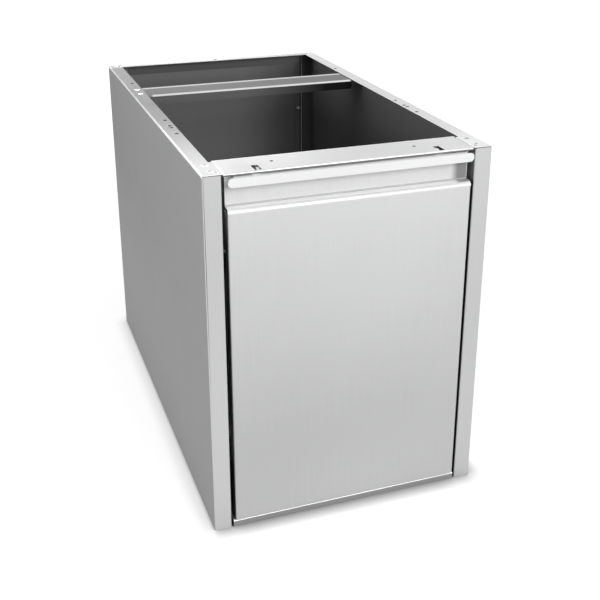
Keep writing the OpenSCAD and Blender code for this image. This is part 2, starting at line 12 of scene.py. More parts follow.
import bmesh
import bpy
import numpy as np
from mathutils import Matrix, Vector


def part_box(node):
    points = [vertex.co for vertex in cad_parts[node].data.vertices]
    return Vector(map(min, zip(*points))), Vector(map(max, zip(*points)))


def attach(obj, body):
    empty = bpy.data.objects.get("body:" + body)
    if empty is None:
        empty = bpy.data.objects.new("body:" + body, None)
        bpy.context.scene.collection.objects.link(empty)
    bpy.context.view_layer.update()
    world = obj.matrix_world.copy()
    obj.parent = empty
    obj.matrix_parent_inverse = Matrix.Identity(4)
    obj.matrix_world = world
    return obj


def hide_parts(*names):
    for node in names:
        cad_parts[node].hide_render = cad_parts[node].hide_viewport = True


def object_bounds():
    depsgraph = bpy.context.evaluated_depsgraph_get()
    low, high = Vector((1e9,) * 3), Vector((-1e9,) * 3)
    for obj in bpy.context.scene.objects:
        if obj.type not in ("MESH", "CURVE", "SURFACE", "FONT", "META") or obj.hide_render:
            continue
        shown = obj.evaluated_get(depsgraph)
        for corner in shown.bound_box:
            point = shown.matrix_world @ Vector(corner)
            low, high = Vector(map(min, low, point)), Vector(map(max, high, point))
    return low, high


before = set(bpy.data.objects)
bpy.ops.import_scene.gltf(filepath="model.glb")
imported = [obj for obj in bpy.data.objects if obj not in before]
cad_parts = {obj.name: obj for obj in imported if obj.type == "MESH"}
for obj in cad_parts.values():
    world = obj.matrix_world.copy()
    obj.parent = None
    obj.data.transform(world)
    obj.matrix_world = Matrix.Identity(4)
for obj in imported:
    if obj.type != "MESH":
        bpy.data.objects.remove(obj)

LOG = logging.getLogger("waste_bin_cabinet")
MM = 0.001
CAD_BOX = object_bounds()
SIDE_NAMES = {-1: "left", 1: "right"}
POST_FACE = float(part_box("side_panel_left")[0][1])
SLIDE_Z = 120.0
SUPPORT_SIDE = 174.5
WHITE = (1.0, 1.0, 1.0, 1.0)
EVEN = (1.0, 1.0, 1.0)
FREE = (-math.inf, math.inf)

Pair = tuple[float, float]
Triple = tuple[float, float, float]


class Grain(Enum):
    """Direction that the brush marks of a sheet run in, as the axis number."""

    ACROSS = 0
    DEEP = 1
    UPRIGHT = 2


class Graph:
    """Adds shader nodes to a material's or world's tree and links them.

    The Mix node has sockets of one name for each kind of data, so those of its colours go by number.
    """

    MIX_FIRST = 6
    MIX_SECOND = 7
    MIX_RESULT = 2

    def __init__(self, tree: bpy.types.NodeTree) -> None:
        """Takes a node tree and empties it.

        Args:
            tree: The tree to fill.
        """
        self.tree = tree
        self.tree.nodes.clear()

    def add(self, kind: str, **settings: object) -> bpy.types.Node:
        """Adds one node.

        Args:
            kind: Node type without its "ShaderNode" prefix.
            **settings: Attributes to set on the node.

        Returns:
            The new node.
        """
        node = self.tree.nodes.new("ShaderNode" + kind)
        for key, value in settings.items():
            setattr(node, key, value)
        return node

    def feed(self, target: bpy.types.NodeSocket, value: object) -> None:
        """Links a socket to an input, or writes a plain value into it.

        Args:
            target: The input.
            value: An output socket or a plain value.
        """
        if isinstance(value, bpy.types.NodeSocket):
            self.tree.links.new(value, target)
        else:
            target.default_value = value

    def place(self, scale: Sequence[float] = EVEN) -> bpy.types.NodeSocket:
        """Object coordinates, stretched along each axis.

        Args:
            scale: Stretch of each axis.

        Returns:
            The stretched coordinates.
        """
        mapping = self.add("Mapping")
        self.feed(mapping.inputs["Vector"], self.add("TexCoord").outputs["Object"])
        mapping.inputs["Scale"].default_value = tuple(scale)
        return mapping.outputs["Vector"]

    def split(self, vector: bpy.types.NodeSocket) -> bpy.types.Node:
        """Takes a vector apart.

        Args:
            vector: The vector.

        Returns:
            Node with the outputs X, Y and Z.
        """
        parts = self.add("SeparateXYZ")
        self.feed(parts.inputs[0], vector)
        return parts

    def normal(self) -> bpy.types.NodeSocket:
        """The surface's own direction, before any bump."""
        return self.add("NewGeometry").outputs["Normal"]

    def noise(self, vector: bpy.types.NodeSocket, scale: float, detail: float = 3.0,
              rough: float = 0.55) -> bpy.types.NodeSocket:
        """Grey noise from nought to one.

        Args:
            vector: Coordinates that it is laid out on.
            scale: Cycles per metre of those coordinates.
            detail: Number of finer layers on top.
            rough: Strength of the finer layers.

        Returns:
            The noise.
        """
        node = self.add("TexNoise")
        self.feed(node.inputs["Vector"], vector)
        for name, number in (("Scale", scale), ("Detail", detail), ("Roughness", rough)):
            node.inputs[name].default_value = number
        return node.outputs["Fac"]

    def span(self, value: object, low: float, high: float, out_low: float,
             out_high: float) -> bpy.types.NodeSocket:
        """Maps a value from one span to another and holds it at the ends.

        Args:
            value: The value.
            low: Start of its span.
            high: End of its span.
            out_low: Result at the start.
            out_high: Result at the end.

        Returns:
            The result.
        """
        node = self.add("MapRange", clamp=True)
        for name, number in (("Value", value), ("From Min", low), ("From Max", high), ("To Min", out_low),
                             ("To Max", out_high)):
            self.feed(node.inputs[name], number)
        return node.outputs["Result"]

    def vary(self, noise: bpy.types.NodeSocket, low: float, high: float) -> bpy.types.NodeSocket:
        """Spreads the middle of a noise, where nearly all of it lies, between two numbers."""
        return self.span(noise, 0.3, 0.7, low, high)

    def math(self, operation: str, first: object, second: object) -> bpy.types.NodeSocket:
        """One step of arithmetic.

        Args:
            operation: Name of the step.
            first: First value.
            second: Second value.

        Returns:
            The result.
        """
        node = self.add("Math", operation=operation)
        self.feed(node.inputs[0], first)
        self.feed(node.inputs[1], second)
        return node.outputs["Value"]

    def blend(self, factor: object, first: object, second: object, mode: str = "MIX") -> bpy.types.NodeSocket:
        """Mixes two colours.

        Args:
            factor: Share of the second colour.
            first: First colour.
            second: Second colour.
            mode: How they mix.

        Returns:
            The mixed colour.
        """
        node = self.add("Mix", data_type="RGBA", blend_type=mode)
        self.feed(node.inputs["Factor"], factor)
        self.feed(node.inputs[self.MIX_FIRST], first)
        self.feed(node.inputs[self.MIX_SECOND], second)
        return node.outputs[self.MIX_RESULT]

    def edges(self, radius: float) -> bpy.types.NodeSocket:
        """How sharply the surface turns, from nought on flats to one on edges.

        Args:
            radius: How near an edge it starts to show, in metres.

        Returns:
            The share of an edge.
        """
        bevel = self.add("Bevel", samples=6)
        bevel.inputs["Radius"].default_value = radius
        dot = self.add("VectorMath", operation="DOT_PRODUCT")
        self.feed(dot.inputs[0], bevel.outputs["Normal"])
        self.feed(dot.inputs[1], self.normal())
        return self.span(dot.outputs["Value"], 0.995, 0.75, 0.0, 1.0)

    def bump(self, height: bpy.types.NodeSocket, distance: float, strength: float) -> bpy.types.NodeSocket:
        """Turns a height into a bumped normal.

        Args:
            height: Height from nought to one.
            distance: What one stands for, in metres.
            strength: Share of the bump that shows.

        Returns:
            The normal.
        """
        node = self.add("Bump")
        node.inputs["Strength"].default_value = strength
        node.inputs["Distance"].default_value = distance
        self.feed(node.inputs["Height"], height)
        return node.outputs["Normal"]

    def grey(self, value: bpy.types.NodeSocket) -> bpy.types.NodeSocket:
        """A grey colour.

        Args:
            value: Its level.

        Returns:
            The colour.
        """
        node = self.add("CombineColor")
        for name in ("Red", "Green", "Blue"):
            self.feed(node.inputs[name], value)
        return node.outputs["Color"]

    def seen_rays(self) -> bpy.types.NodeSocket:
        """Which rays show the surroundings as a picture.

        Returns:
            One for rays of the camera, of reflections and through glass, and nought for the others.
        """
        path = self.add("LightPath")
        rays = self.math("ADD", path.outputs["Is Camera Ray"], path.outputs["Is Glossy Ray"])
        return self.math("MINIMUM", self.math("ADD", rays, path.outputs["Is Transmission Ray"]), 1.0)


def new_material(name: str) -> tuple[bpy.types.Material, Graph]:
    """A material with an empty graph.

    Args:
        name: Name of the material.

    Returns:
        The material and its graph.
    """
    material = bpy.data.materials.new(name)
    material.use_nodes = True
    return material, Graph(material.node_tree)


def surface(graph: Graph, **sockets: object) -> None:
    """Adds the surface shader and its output.

    Args:
        graph: The material's graph.
        **sockets: Values or links for the shader's inputs, with spaces as underscores.
    """
    shader = graph.add("BsdfPrincipled")
    for key, value in sockets.items():
        graph.feed(shader.inputs[key.replace("_", " ")], value)
    graph.feed(graph.add("OutputMaterial").inputs["Surface"], shader.outputs["BSDF"])


@dataclass(frozen=True)
class PaintedLightZone:
    """A box of painted light or shade, in which a sheet is brighter or darker than the rest, such as a
    painted highlight along a bend.

    Spans are in millimetres: X from the middle, depth from the faces of the posts, Z from the floor. Each
    side of the box is a ramp centred on its limit, as wide as soft says for its axis. A limit well outside
    the sheet leaves that side open.
    """

    tone: float
    x: Pair = FREE
    depth: Pair = FREE
    z: Pair = FREE
    soft: Triple = (0.3, 0.3, 0.3)

    def share(self, g: Graph, parts: bpy.types.Node) -> object:
        """One inside the box and nought outside it.

        Args:
            g: Graph of the material.
            parts: Node that gives the three object coordinates.

        Returns:
            The share, as a link.
        """
        share: object = 1.0
        origin = (0.0, POST_FACE, 0.0)
        for axis, span, soft, start in zip("XYZ", (self.x, self.depth, self.z), self.soft, origin):
            half = soft * MM / 2
            for limit, below, above in ((span[0], 0.0, 1.0), (span[1], 1.0, 0.0)):
                if math.isfinite(limit):
                    middle = start + limit * MM
                    ramp = g.span(parts.outputs[axis], middle - half, middle + half, below, above)
                    share = g.math("MULTIPLY", share, ramp)
        return share


@dataclass(frozen=True)
class SheetFinish:
    """Brushed stainless sheet: fine streaks along the grain, soft clouds, a painted highlight on edges that
    face up, painted shade on other edges, and boxes of painted light and shade.

    Fine and coarse give the cycles per metre of two sets of streaks, along the grain and across it.
    """

    name: str
    tone: float = 0.60
    metallic: float = 0.30
    roughness: float = 0.42
    grain: Grain = Grain.ACROSS
    streak: float = 0.05
    cloud: float = 0.035
    smear: float = 0.025
    specular: float = 0.5
    edge_sheen: float = 0.30
    edge_width: float = 2.6 * MM
    zones: tuple[PaintedLightZone, ...] = ()
    fine: Pair = (9.0, 1300.0)
    coarse: Pair = (3.0, 260.0)
    fine_share: float = 0.8
    cloud_scale: float = 5.0
    smear_scale: float = 21.0
    rough_swing: float = 0.05
    scratch_depth: float = 0.02 * MM
    edge_shade: float = 0.35

    def colour(self) -> tuple[float, float, float, float]:
        """The sheet's grey, a touch to the cold side, which on the left side and the back sheet holds painted
        shade.
        """
        return (self.tone * 0.998, self.tone, self.tone * 1.002, 1.0)

    def streaks(self, g: Graph, cycles: Pair) -> bpy.types.NodeSocket:
        """Noise drawn out along the grain.

        Args:
            g: Graph of the material.
            cycles: Cycles per metre along the grain and across it.

        Returns:
            The noise.
        """
        along, across = cycles
        scale = [across] * 3
        scale[self.grain.value] = along
        return g.noise(g.place(scale), 1.0, detail=2.0)

    def build(self) -> bpy.types.Material:
        """Makes the material.

        Returns:
            The finished material.
        """
        material, g = new_material(self.name)
        fine = g.math("MULTIPLY", self.streaks(g, self.fine), self.fine_share)
        coarse = g.math("MULTIPLY", self.streaks(g, self.coarse), 1.0 - self.fine_share)
        lines = g.math("ADD", fine, coarse)
        clouds = g.noise(g.place(), self.cloud_scale, detail=2.0, rough=0.45)
        smear = g.noise(g.place((1.0, 1.0, 0.6)), self.smear_scale, detail=4.0, rough=0.6)
        level = g.math("MULTIPLY", g.vary(lines, 1.0 - self.streak, 1.0 + self.streak),
                       g.vary(clouds, 1.0 - self.cloud, 1.0 + self.cloud))
        edge = g.math("MULTIPLY", g.edges(self.edge_width), g.span(smear, 0.3, 0.6, 0.55, 1.0))
        # painted highlight on edges that face up, and painted shade on edges that face sideways or down
        up = g.split(g.normal()).outputs["Z"]
        edge_light = g.span(up, 0.02, 0.3, -self.edge_shade * self.edge_sheen, self.edge_sheen)
        shade = g.math("ADD", level, g.math("MULTIPLY", edge, edge_light))
        parts = g.split(g.place())
        # painted light and shade of each box
        for zone in self.zones:
            shade = g.math("MULTIPLY", shade, g.span(zone.share(g, parts), 0.0, 1.0, 1.0, zone.tone))
        tint = g.blend(1.0, self.colour(), g.grey(shade), "MULTIPLY")
        rough = g.vary(lines, self.roughness - self.rough_swing, self.roughness + self.rough_swing)
        rough = g.math("ADD", rough, g.span(smear, 0.35, 0.75, -self.smear / 2, self.smear))
        surface(g, Base_Color=tint, Metallic=self.metallic, Roughness=rough, Specular_IOR_Level=self.specular,
                Normal=g.bump(lines, self.scratch_depth, 0.6))
        return material


@dataclass(frozen=True)
class ClinchFinish:
    """Pressed dishes in a near-white colour, a painted highlight, with painted shade on the rear wall of each
    bowl, the wall that faces the front.

    The painted shade is weaker on the marks beside the cross rail, which lie between the front and the rear
    group, and it reaches a little further round the bowls of the right flange.
    """

    name: str
    # rim is the near-white colour, a painted highlight, and bowl the colour of the painted shade
    rim: Triple = (0.95, 0.95, 0.96)
    bowl: Triple = (0.16, 0.16, 0.165)
    front_group: float = 100.0 * MM
    rear_group: float = 600.0 * MM
    middle_shade: float = 0.55
    right_reach: float = 0.035
    lean: Pair = (-0.07, -0.015)
    speck_scale: float = 2600.0

    def build(self) -> bpy.types.Material:
        """Makes the material.

        Returns:
            The finished material.
        """
        material, g = new_material(self.name)
        parts = g.split(g.place())
        speck = g.noise(g.place(), self.speck_scale, detail=2.0)
        # painted shade on the bowl's wall that faces the front
        back = g.split(g.normal()).outputs["Y"]
        right = g.span(parts.outputs["X"], -MM, MM, 0.0, self.right_reach)
        rear_wall = g.span(g.math("SUBTRACT", back, right), *self.lean, 1.0, 0.0)
        front_end, rear_start = POST_FACE + self.front_group, POST_FACE + self.rear_group
        group = g.math("MAXIMUM", g.span(parts.outputs["Y"], front_end, front_end + MM, 1.0, self.middle_shade),
                       g.span(parts.outputs["Y"], rear_start, rear_start + MM, 0.0, 1.0))
        painted_shade = g.math("MULTIPLY", g.math("MULTIPLY", rear_wall, group), g.vary(speck, 0.8, 1.0))
        tint = g.blend(painted_shade, (*self.rim, 1.0), (*self.bowl, 1.0))
        surface(g, Base_Color=tint, Metallic=0.3, Roughness=g.vary(speck, 0.28, 0.4),
                Normal=g.bump(speck, 0.01 * MM, 0.5))
        return material


@dataclass(frozen=True)
class ZincFinish:
    """Bright zinc on rolled or turned steel: faint spangle and darker, duller patches."""

    name: str
    tint: Triple = (0.56, 0.57, 0.58)
    patch: Triple = (0.50, 0.51, 0.53)
    roughness: float = 0.36
    metallic: float = 0.7
    edge_gain: float = 1.25
    edge_width: float = 0.5 * MM
    spangle_scale: float = 160.0
    draw_marks: Triple = (900.0, 14.0, 900.0)

    def build(self) -> bpy.types.Material:
        """Makes the material.

        Returns:
            The finished material.
        """
        material, g = new_material(self.name)
        spots = g.noise(g.place(), self.spangle_scale)
        drawn = g.noise(g.place(self.draw_marks), 1.0, detail=2.0)
        mixed = g.blend(g.span(spots, 0.42, 0.66, 0.0, 1.0), (*self.tint, 1.0), (*self.patch, 1.0))
        bright = tuple(min(1.0, c * self.edge_gain) for c in self.tint)
        worn = g.blend(g.math("MULTIPLY", g.edges(self.edge_width), 0.6), mixed, (*bright, 1.0))
        rough = g.math("ADD", g.vary(spots, self.roughness - 0.02, self.roughness + 0.03),
                       g.vary(drawn, -0.03, 0.03))
        surface(g, Base_Color=worn, Metallic=self.metallic, Roughness=rough,
                Normal=g.bump(drawn, 0.015 * MM, 0.5))
        return material


@dataclass(frozen=True)
class PlasticFinish:
    """Moulded plastic with a fine grain, slight mottling and rubbed edges."""

    name: str
    tint: Triple = (0.028, 0.030, 0.033)
    rubbed: Triple = (0.075, 0.078, 0.082)
    roughness: float = 0.5
    edge_width: float = 1.2 * MM
    pore_scale: float = 1500.0
    mottle_scale: float = 28.0
    scuff_marks: Triple = (60.0, 60.0, 9.0)

    def build(self) -> bpy.types.Material:
        """Makes the material.

        Returns:
            The finished material.
        """
        material, g = new_material(self.name)
        pores = g.noise(g.place(), self.pore_scale, detail=2.0)
        mottle = g.noise(g.place(), self.mottle_scale, detail=4.0)
        scuffs = g.noise(g.place(self.scuff_marks), 1.0, detail=4.0, rough=0.65)
        marks = g.math("ADD", g.math("MULTIPLY", g.edges(self.edge_width), 0.5),
                       g.span(scuffs, 0.62, 0.78, 0.0, 0.35))
        tint = g.blend(marks, (*self.tint, 1.0), (*self.rubbed, 1.0))
        shade = g.blend(1.0, tint, g.grey(g.vary(mottle, 0.9, 1.1)), "MULTIPLY")
        rough = g.vary(mottle, self.roughness - 0.06, self.roughness + 0.08)
        surface(g, Base_Color=shade, Roughness=rough, Normal=g.bump(pores, 0.05 * MM, 0.5))
        return material


class Finishes:
    """All finishes, made once, and the nodes that each one dresses.

    The spans named first recur among the boxes of painted light and shade: the faces of the posts, the upper
    faces of the flanges, the walls of round holes in them, and the insides of the side and rear panels.
    """

    POST = (-9.0, 0.6)
    TOP = (521.4, 530.0)
    HOLE_WALL = (520.9, 521.9)
    INSIDE_DEPTH = (1.5, 699.5)
    INSIDE_Z = (1.5, 520.8)
    BACK_INSIDE = (600.0, 699.4)
    HOLE_SOFT = (0.2, 0.2, 0.05)

    # painted light on the posts' feet and on the flanges near the front, and painted shade on the walls of
    # the holes in the flanges and rail
    POST_FOOT = PaintedLightZone(1.10, depth=POST, z=(-9.0, 130.0), soft=(0.3, 0.3, 260.0))
    CORNER_TOP = PaintedLightZone(1.20, depth=(-9.0, 60.0), z=TOP, soft=(0.3, 60.0, 0.3))
    LEFT_HOLES = PaintedLightZone(0.10, x=(-196.0, -176.6), depth=(25.0, 680.0), z=HOLE_WALL, soft=HOLE_SOFT)
    RIGHT_HOLES = PaintedLightZone(0.10, x=(176.6, 196.0), depth=(25.0, 680.0), z=HOLE_WALL, soft=HOLE_SOFT)
    RAIL_HOLES = PaintedLightZone(0.10, x=(-160.0, 160.0), depth=(4.0, 56.0), z=HOLE_WALL, soft=HOLE_SOFT)

    FRONT = SheetFinish(
        "front_sheet", tone=0.66, metallic=0.22, grain=Grain.UPRIGHT, streak=0.028, cloud=0.02,
        edge_width=1.5 * MM, zones=(
            # painted shade on the lower part of the face, a painted highlight on the ledge's upper side and
            # painted shade in the bend behind it
            PaintedLightZone(0.82, z=(-9.0, 290.0), soft=(0.3, 0.3, 340.0)),
            PaintedLightZone(1.45, depth=(-2.0, 8.6), z=(475.4, 477.2)),
            PaintedLightZone(0.62, depth=(8.6, 12.0), z=(475.0, 478.4)),
            # painted shade at the right end of the finger recess, a painted highlight along its edge, and
            # painted shade at the same end of the ledge
            PaintedLightZone(0.34, x=(150.0, 999.0), depth=(8.0, 12.0), z=(478.0, 520.0), soft=(10.0, 0.3, 0.3)),
            PaintedLightZone(2.60, x=(168.0, 169.2), depth=(8.0, 12.0), z=(479.0, 520.0), soft=(0.4, 0.3, 0.3)),
            PaintedLightZone(0.40, x=(152.0, 999.0), depth=(-1.0, 9.0), z=(475.4, 477.2), soft=(4.0, 3.0, 0.3)),
            # painted shade on the folded edges in the gaps beside the posts, and painted light on the upper
            # part of the left one
            PaintedLightZone(0.10, x=(168.7, 999.0), depth=(0.6, 99.0), z=(-9.0, 470.0), soft=(0.3, 0.3, 8.0)),
            PaintedLightZone(0.10, x=(-999.0, -168.7), depth=(0.6, 99.0), z=(-9.0, 446.0), soft=(0.3, 0.3, 44.0)),
            PaintedLightZone(1.30, x=(-999.0, -168.7), depth=(0.6, 99.0), z=(468.0, 999.0), soft=(0.3, 0.3, 14.0))))
    # The left side's sheet is a darker copy of the right side's: painted shade on the face turned away from
    # the lamps, which boxes lift on the flange and post.
    SIDE_LEFT = SheetFinish(
        "left_side_sheet_painted_shade", tone=0.39, metallic=0.1, roughness=0.46, grain=Grain.DEEP, cloud=0.012,
        specular=0.03, zones=(
            # painted light on the inner faces, a little above the outer face's painted shade, and painted
            # shade on the fold behind the post
            PaintedLightZone(1.10, x=(-199.3, 0.0), depth=INSIDE_DEPTH, z=INSIDE_Z),
            PaintedLightZone(0.20, x=(-176.0, -170.0), depth=(1.5, 18.0), z=(-9.0, 520.8)),
            # painted light on the flange and post, which catch more light than the side
            PaintedLightZone(1.72, z=TOP),
            PaintedLightZone(1.60, depth=POST),
            PaintedLightZone(1.08, depth=POST, z=(-9.0, 330.0), soft=(0.3, 0.3, 150.0)),
            # painted shade on the flange towards the back, and a painted highlight on its rear corner
            PaintedLightZone(0.62, depth=(190.0, 999.0), z=TOP, soft=(0.3, 200.0, 0.3)),
            PaintedLightZone(0.54, depth=(230.0, 999.0), z=TOP, soft=(0.3, 300.0, 0.3)),
            PaintedLightZone(2.1, x=(-200.0, -176.0), depth=(672.0, 697.0), z=TOP, soft=(1.0, 8.0, 0.3)),
            # painted highlight on the bend between side and flange, and painted shade on the side's outer
            # face towards the back
            PaintedLightZone(3.0, x=(-210.0, -198.2), z=(519.8, 530.0), soft=(0.6, 0.3, 0.6)),
            PaintedLightZone(0.60, x=(-210.0, -199.5), depth=(330.0, 999.0), z=(340.0, 519.6), soft=(0.3, 700.0, 320.0)),
            PaintedLightZone(0.90, x=(-210.0, -199.5), depth=(350.0, 999.0), z=(-9.0, 519.6), soft=(0.3, 700.0, 0.3)),
            # painted highlight and painted shade in lines along the post's outer bend
            PaintedLightZone(1.35, x=(-210.0, -198.8), depth=(-9.0, 1.4), z=(230.0, 519.6), soft=(0.4, 0.6, 300.0)),
            PaintedLightZone(0.42, x=(-198.7, -197.6), depth=POST, z=(280.0, 520.4), soft=(0.3, 0.3, 200.0)),
            LEFT_HOLES, POST_FOOT, CORNER_TOP))
    SIDE_RIGHT = SheetFinish(
        "right_side_sheet", tone=0.56, grain=Grain.DEEP, streak=0.05, cloud=0.012, zones=(
            # painted shade on the inner faces and on the fold behind the post below the ledge, and painted
            # light on that fold above the ledge
            PaintedLightZone(0.40, x=(0.0, 199.3), depth=INSIDE_DEPTH, z=INSIDE_Z),
            PaintedLightZone(0.15, x=(170.0, 176.0), depth=(1.5, 18.0), z=(-9.0, 474.0), soft=(0.3, 0.3, 8.0)),
            PaintedLightZone(1.50, x=(170.0, 176.0), depth=(1.5, 18.0), z=(474.0, 520.8), soft=(0.3, 0.3, 8.0)),
            # deeper painted shade on the rear of the inner face and its fold
            PaintedLightZone(0.55, x=(0.0, 199.3), depth=(480.0, 699.5), z=INSIDE_Z, soft=(0.3, 500.0, 0.3)),
            PaintedLightZone(0.50, x=(0.0, 199.3), depth=(690.0, 699.5), z=INSIDE_Z),
            # painted light on the flange, brightest at the front
            PaintedLightZone(1.22, z=TOP),
            PaintedLightZone(1.06, depth=(-9.0, 150.0), z=TOP, soft=(0.3, 200.0, 0.3)),
            RIGHT_HOLES, POST_FOOT, CORNER_TOP))
    RAIL = SheetFinish(
        "rail_sheet", tone=0.66, grain=Grain.ACROSS, zones=(
            # painted shade on the hanging front fold, then painted shade at the left end of the top face and
            # painted light at its right end
            PaintedLightZone(0.20, depth=(-9.0, 1.3), z=(500.0, 520.1), soft=(0.3, 0.3, 0.6)),
            PaintedLightZone(0.72, x=(-180.0, -110.0), z=(521.0, 530.0), soft=(80.0, 0.3, 0.3)),
            PaintedLightZone(1.08, x=(120.0, 180.0), z=(521.0, 530.0), soft=(80.0, 0.3, 0.3)),
            # painted highlights on the rear bend and the left edge
            PaintedLightZone(1.35, depth=(56.5, 61.0), z=(520.0, 530.0), soft=(0.3, 1.5, 0.3)),
            PaintedLightZone(1.35, x=(-180.0, -170.8), z=(520.8, 530.0), soft=(1.0, 0.3, 0.3)),
            RAIL_HOLES))
    STRIP = SheetFinish("strip_sheet", tone=0.82, grain=Grain.ACROSS, roughness=0.34, streak=0.02)
    REAR_RAIL = SheetFinish(
        "rear_rail_sheet", tone=0.60, metallic=0.2, grain=Grain.ACROSS, roughness=0.5, specular=0.25, zones=(
            # painted shade on the underside and hanging leg, the wall of the hole and the rear bend
            PaintedLightZone(0.15, z=(-9.0, 520.6)),
            PaintedLightZone(0.10, x=(-5.0, 5.0), depth=(685.0, 693.5), z=HOLE_WALL),
            PaintedLightZone(0.75, depth=(696.4, 999.0), z=(520.6, 530.0))))
    CROSS = SheetFinish(
        "cross_rail_sheet", tone=0.235, metallic=0.03, grain=Grain.ACROSS, roughness=0.6, edge_sheen=0.2,
        specular=0.03, zones=(
            # painted shade on the hanging folds, deepest towards the right, then painted highlights along
            # both bends
            PaintedLightZone(0.56, z=(-9.0, 518.8), soft=(0.3, 0.3, 0.6)),
            PaintedLightZone(0.06, x=(60.0, 999.0), z=(-9.0, 518.8), soft=(140.0, 0.3, 0.6)),
            PaintedLightZone(3.2, x=(-170.0, 176.0), depth=(430.0, 446.0), z=(519.0, 530.0), soft=(3.0, 1.5, 0.5)),
            PaintedLightZone(3.2, x=(-176.0, 176.0), depth=(490.0, 510.0), z=(519.0, 530.0), soft=(3.0, 2.0, 0.5))))
    CLINCH = ClinchFinish("clinch_sheet")
    FLOOR = SheetFinish(
        "floor_sheet", tone=0.30, metallic=0.25, grain=Grain.ACROSS, roughness=0.5, zones=(
            # painted light on the down-turned front edge and a painted highlight on the bend above it
            PaintedLightZone(1.15, depth=(-9.0, 0.7)),
            PaintedLightZone(3.6, depth=(-9.0, 3.2), z=(8.7, 12.0))))
    # The back sheet's own grey is dark, painted shade for its inside; a box lifts its outer face out of it.
    BACK = SheetFinish(
        "back_sheet_painted_shade", tone=0.18, metallic=0.2, grain=Grain.UPRIGHT, roughness=0.5, zones=(
            # deeper painted shade on the inner face to the right and near its top
            PaintedLightZone(0.45, x=(110.0, 200.0), depth=BACK_INSIDE, soft=(110.0, 0.3, 0.3)),
            PaintedLightZone(0.76, depth=BACK_INSIDE, z=(430.0, 999.0), soft=(0.3, 0.3, 80.0)),
            # painted shade line and painted highlight line along the right upright edge, then the outer face
            # lifted out of the sheet's painted shade
            PaintedLightZone(0.35, x=(172.5, 176.2), depth=BACK_INSIDE),
            PaintedLightZone(6.0, x=(176.2, 178.0), depth=BACK_INSIDE),
            PaintedLightZone(4.6, depth=(699.4, 999.0))))
    INNER = SheetFinish("inner_sheet", tone=0.46, grain=Grain.UPRIGHT, roughness=0.48)
    ROLLED = SheetFinish("rolled_sheet", tone=0.40, grain=Grain.DEEP, roughness=0.5, streak=0.05)
    ZINC = ZincFinish("bright_zinc")
    SCREW = ZincFinish("screw_zinc", tint=(0.5, 0.51, 0.53), roughness=0.34)
    YELLOW = ZincFinish("yellow_zinc", tint=(0.50, 0.42, 0.22), patch=(0.38, 0.31, 0.16))
    BALL = ZincFinish("ball_steel", tint=(0.62, 0.62, 0.63), patch=(0.55, 0.55, 0.56), roughness=0.12)
    PLASTIC = PlasticFinish("bin_plastic")
    RUBBER = PlasticFinish("buffer_rubber", tint=(0.02, 0.02, 0.021), roughness=0.7)

    def __init__(self) -> None:
        """Makes every finish that the cabinet's nodes and pieces use."""
        self.nodes = {
            "side_panel_left": self.SIDE_LEFT, "side_panel_right": self.SIDE_RIGHT, "rear_panel": self.BACK,
            "bottom_panel": self.FLOOR, "front_top_rail": self.RAIL, "rear_top_rail": self.REAR_RAIL,
            "cross_rail": self.CROSS, "front_skin": self.FRONT, "front_inner_panel": self.INNER,
            "grip_strip": self.STRIP, "bin_tray": self.INNER, "bin_stop": self.INNER,
            "rear_panel_rivets": self.SCREW, "front_bracket_screws": self.SCREW,
            "tray_bracket_screws": self.SCREW, "waste_bin": self.PLASTIC,
        }
        for side in SIDE_NAMES.values():
            self.nodes["slide_support_" + side] = self.ROLLED
            self.nodes["front_bracket_" + side] = self.ROLLED
            self.nodes["slide_screws_" + side] = self.SCREW
            self.nodes["tray_screws_" + side] = self.SCREW
            for member in ("outer", "middle", "inner"):
                self.nodes["slide_%s_%s" % (member, side)] = self.ZINC
            for row in ("outer", "inner"):
                self.nodes["%s_ball_cage_%s" % (row, side)] = self.YELLOW
                self.nodes["%s_balls_%s" % (row, side)] = self.BALL
        used = dict.fromkeys((*self.nodes.values(), self.RUBBER, self.CLINCH))
        self.made = {finish.name: finish.build() for finish in used}

    def dress(self) -> None:
        """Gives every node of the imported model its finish."""
        for name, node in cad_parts.items():
            node.data.materials.clear()
            node.data.materials.append(self.made[self.nodes[name].name])
            LOG.info("%s is dressed in %s", name, self.nodes[name].name)


def at(x: float, depth: float, z: float) -> np.ndarray:
    """A place in metres from millimetres, with the depth counted from the faces of the posts."""
    return np.array([x * MM, POST_FACE + depth * MM, z * MM])


def smooth_step(value: np.ndarray, edge: float, width: float) -> np.ndarray:
    """One below the edge and nought above it, with an even slope of a given width between."""
    return np.clip((edge - value) / width + 0.5, 0.0, 1.0)


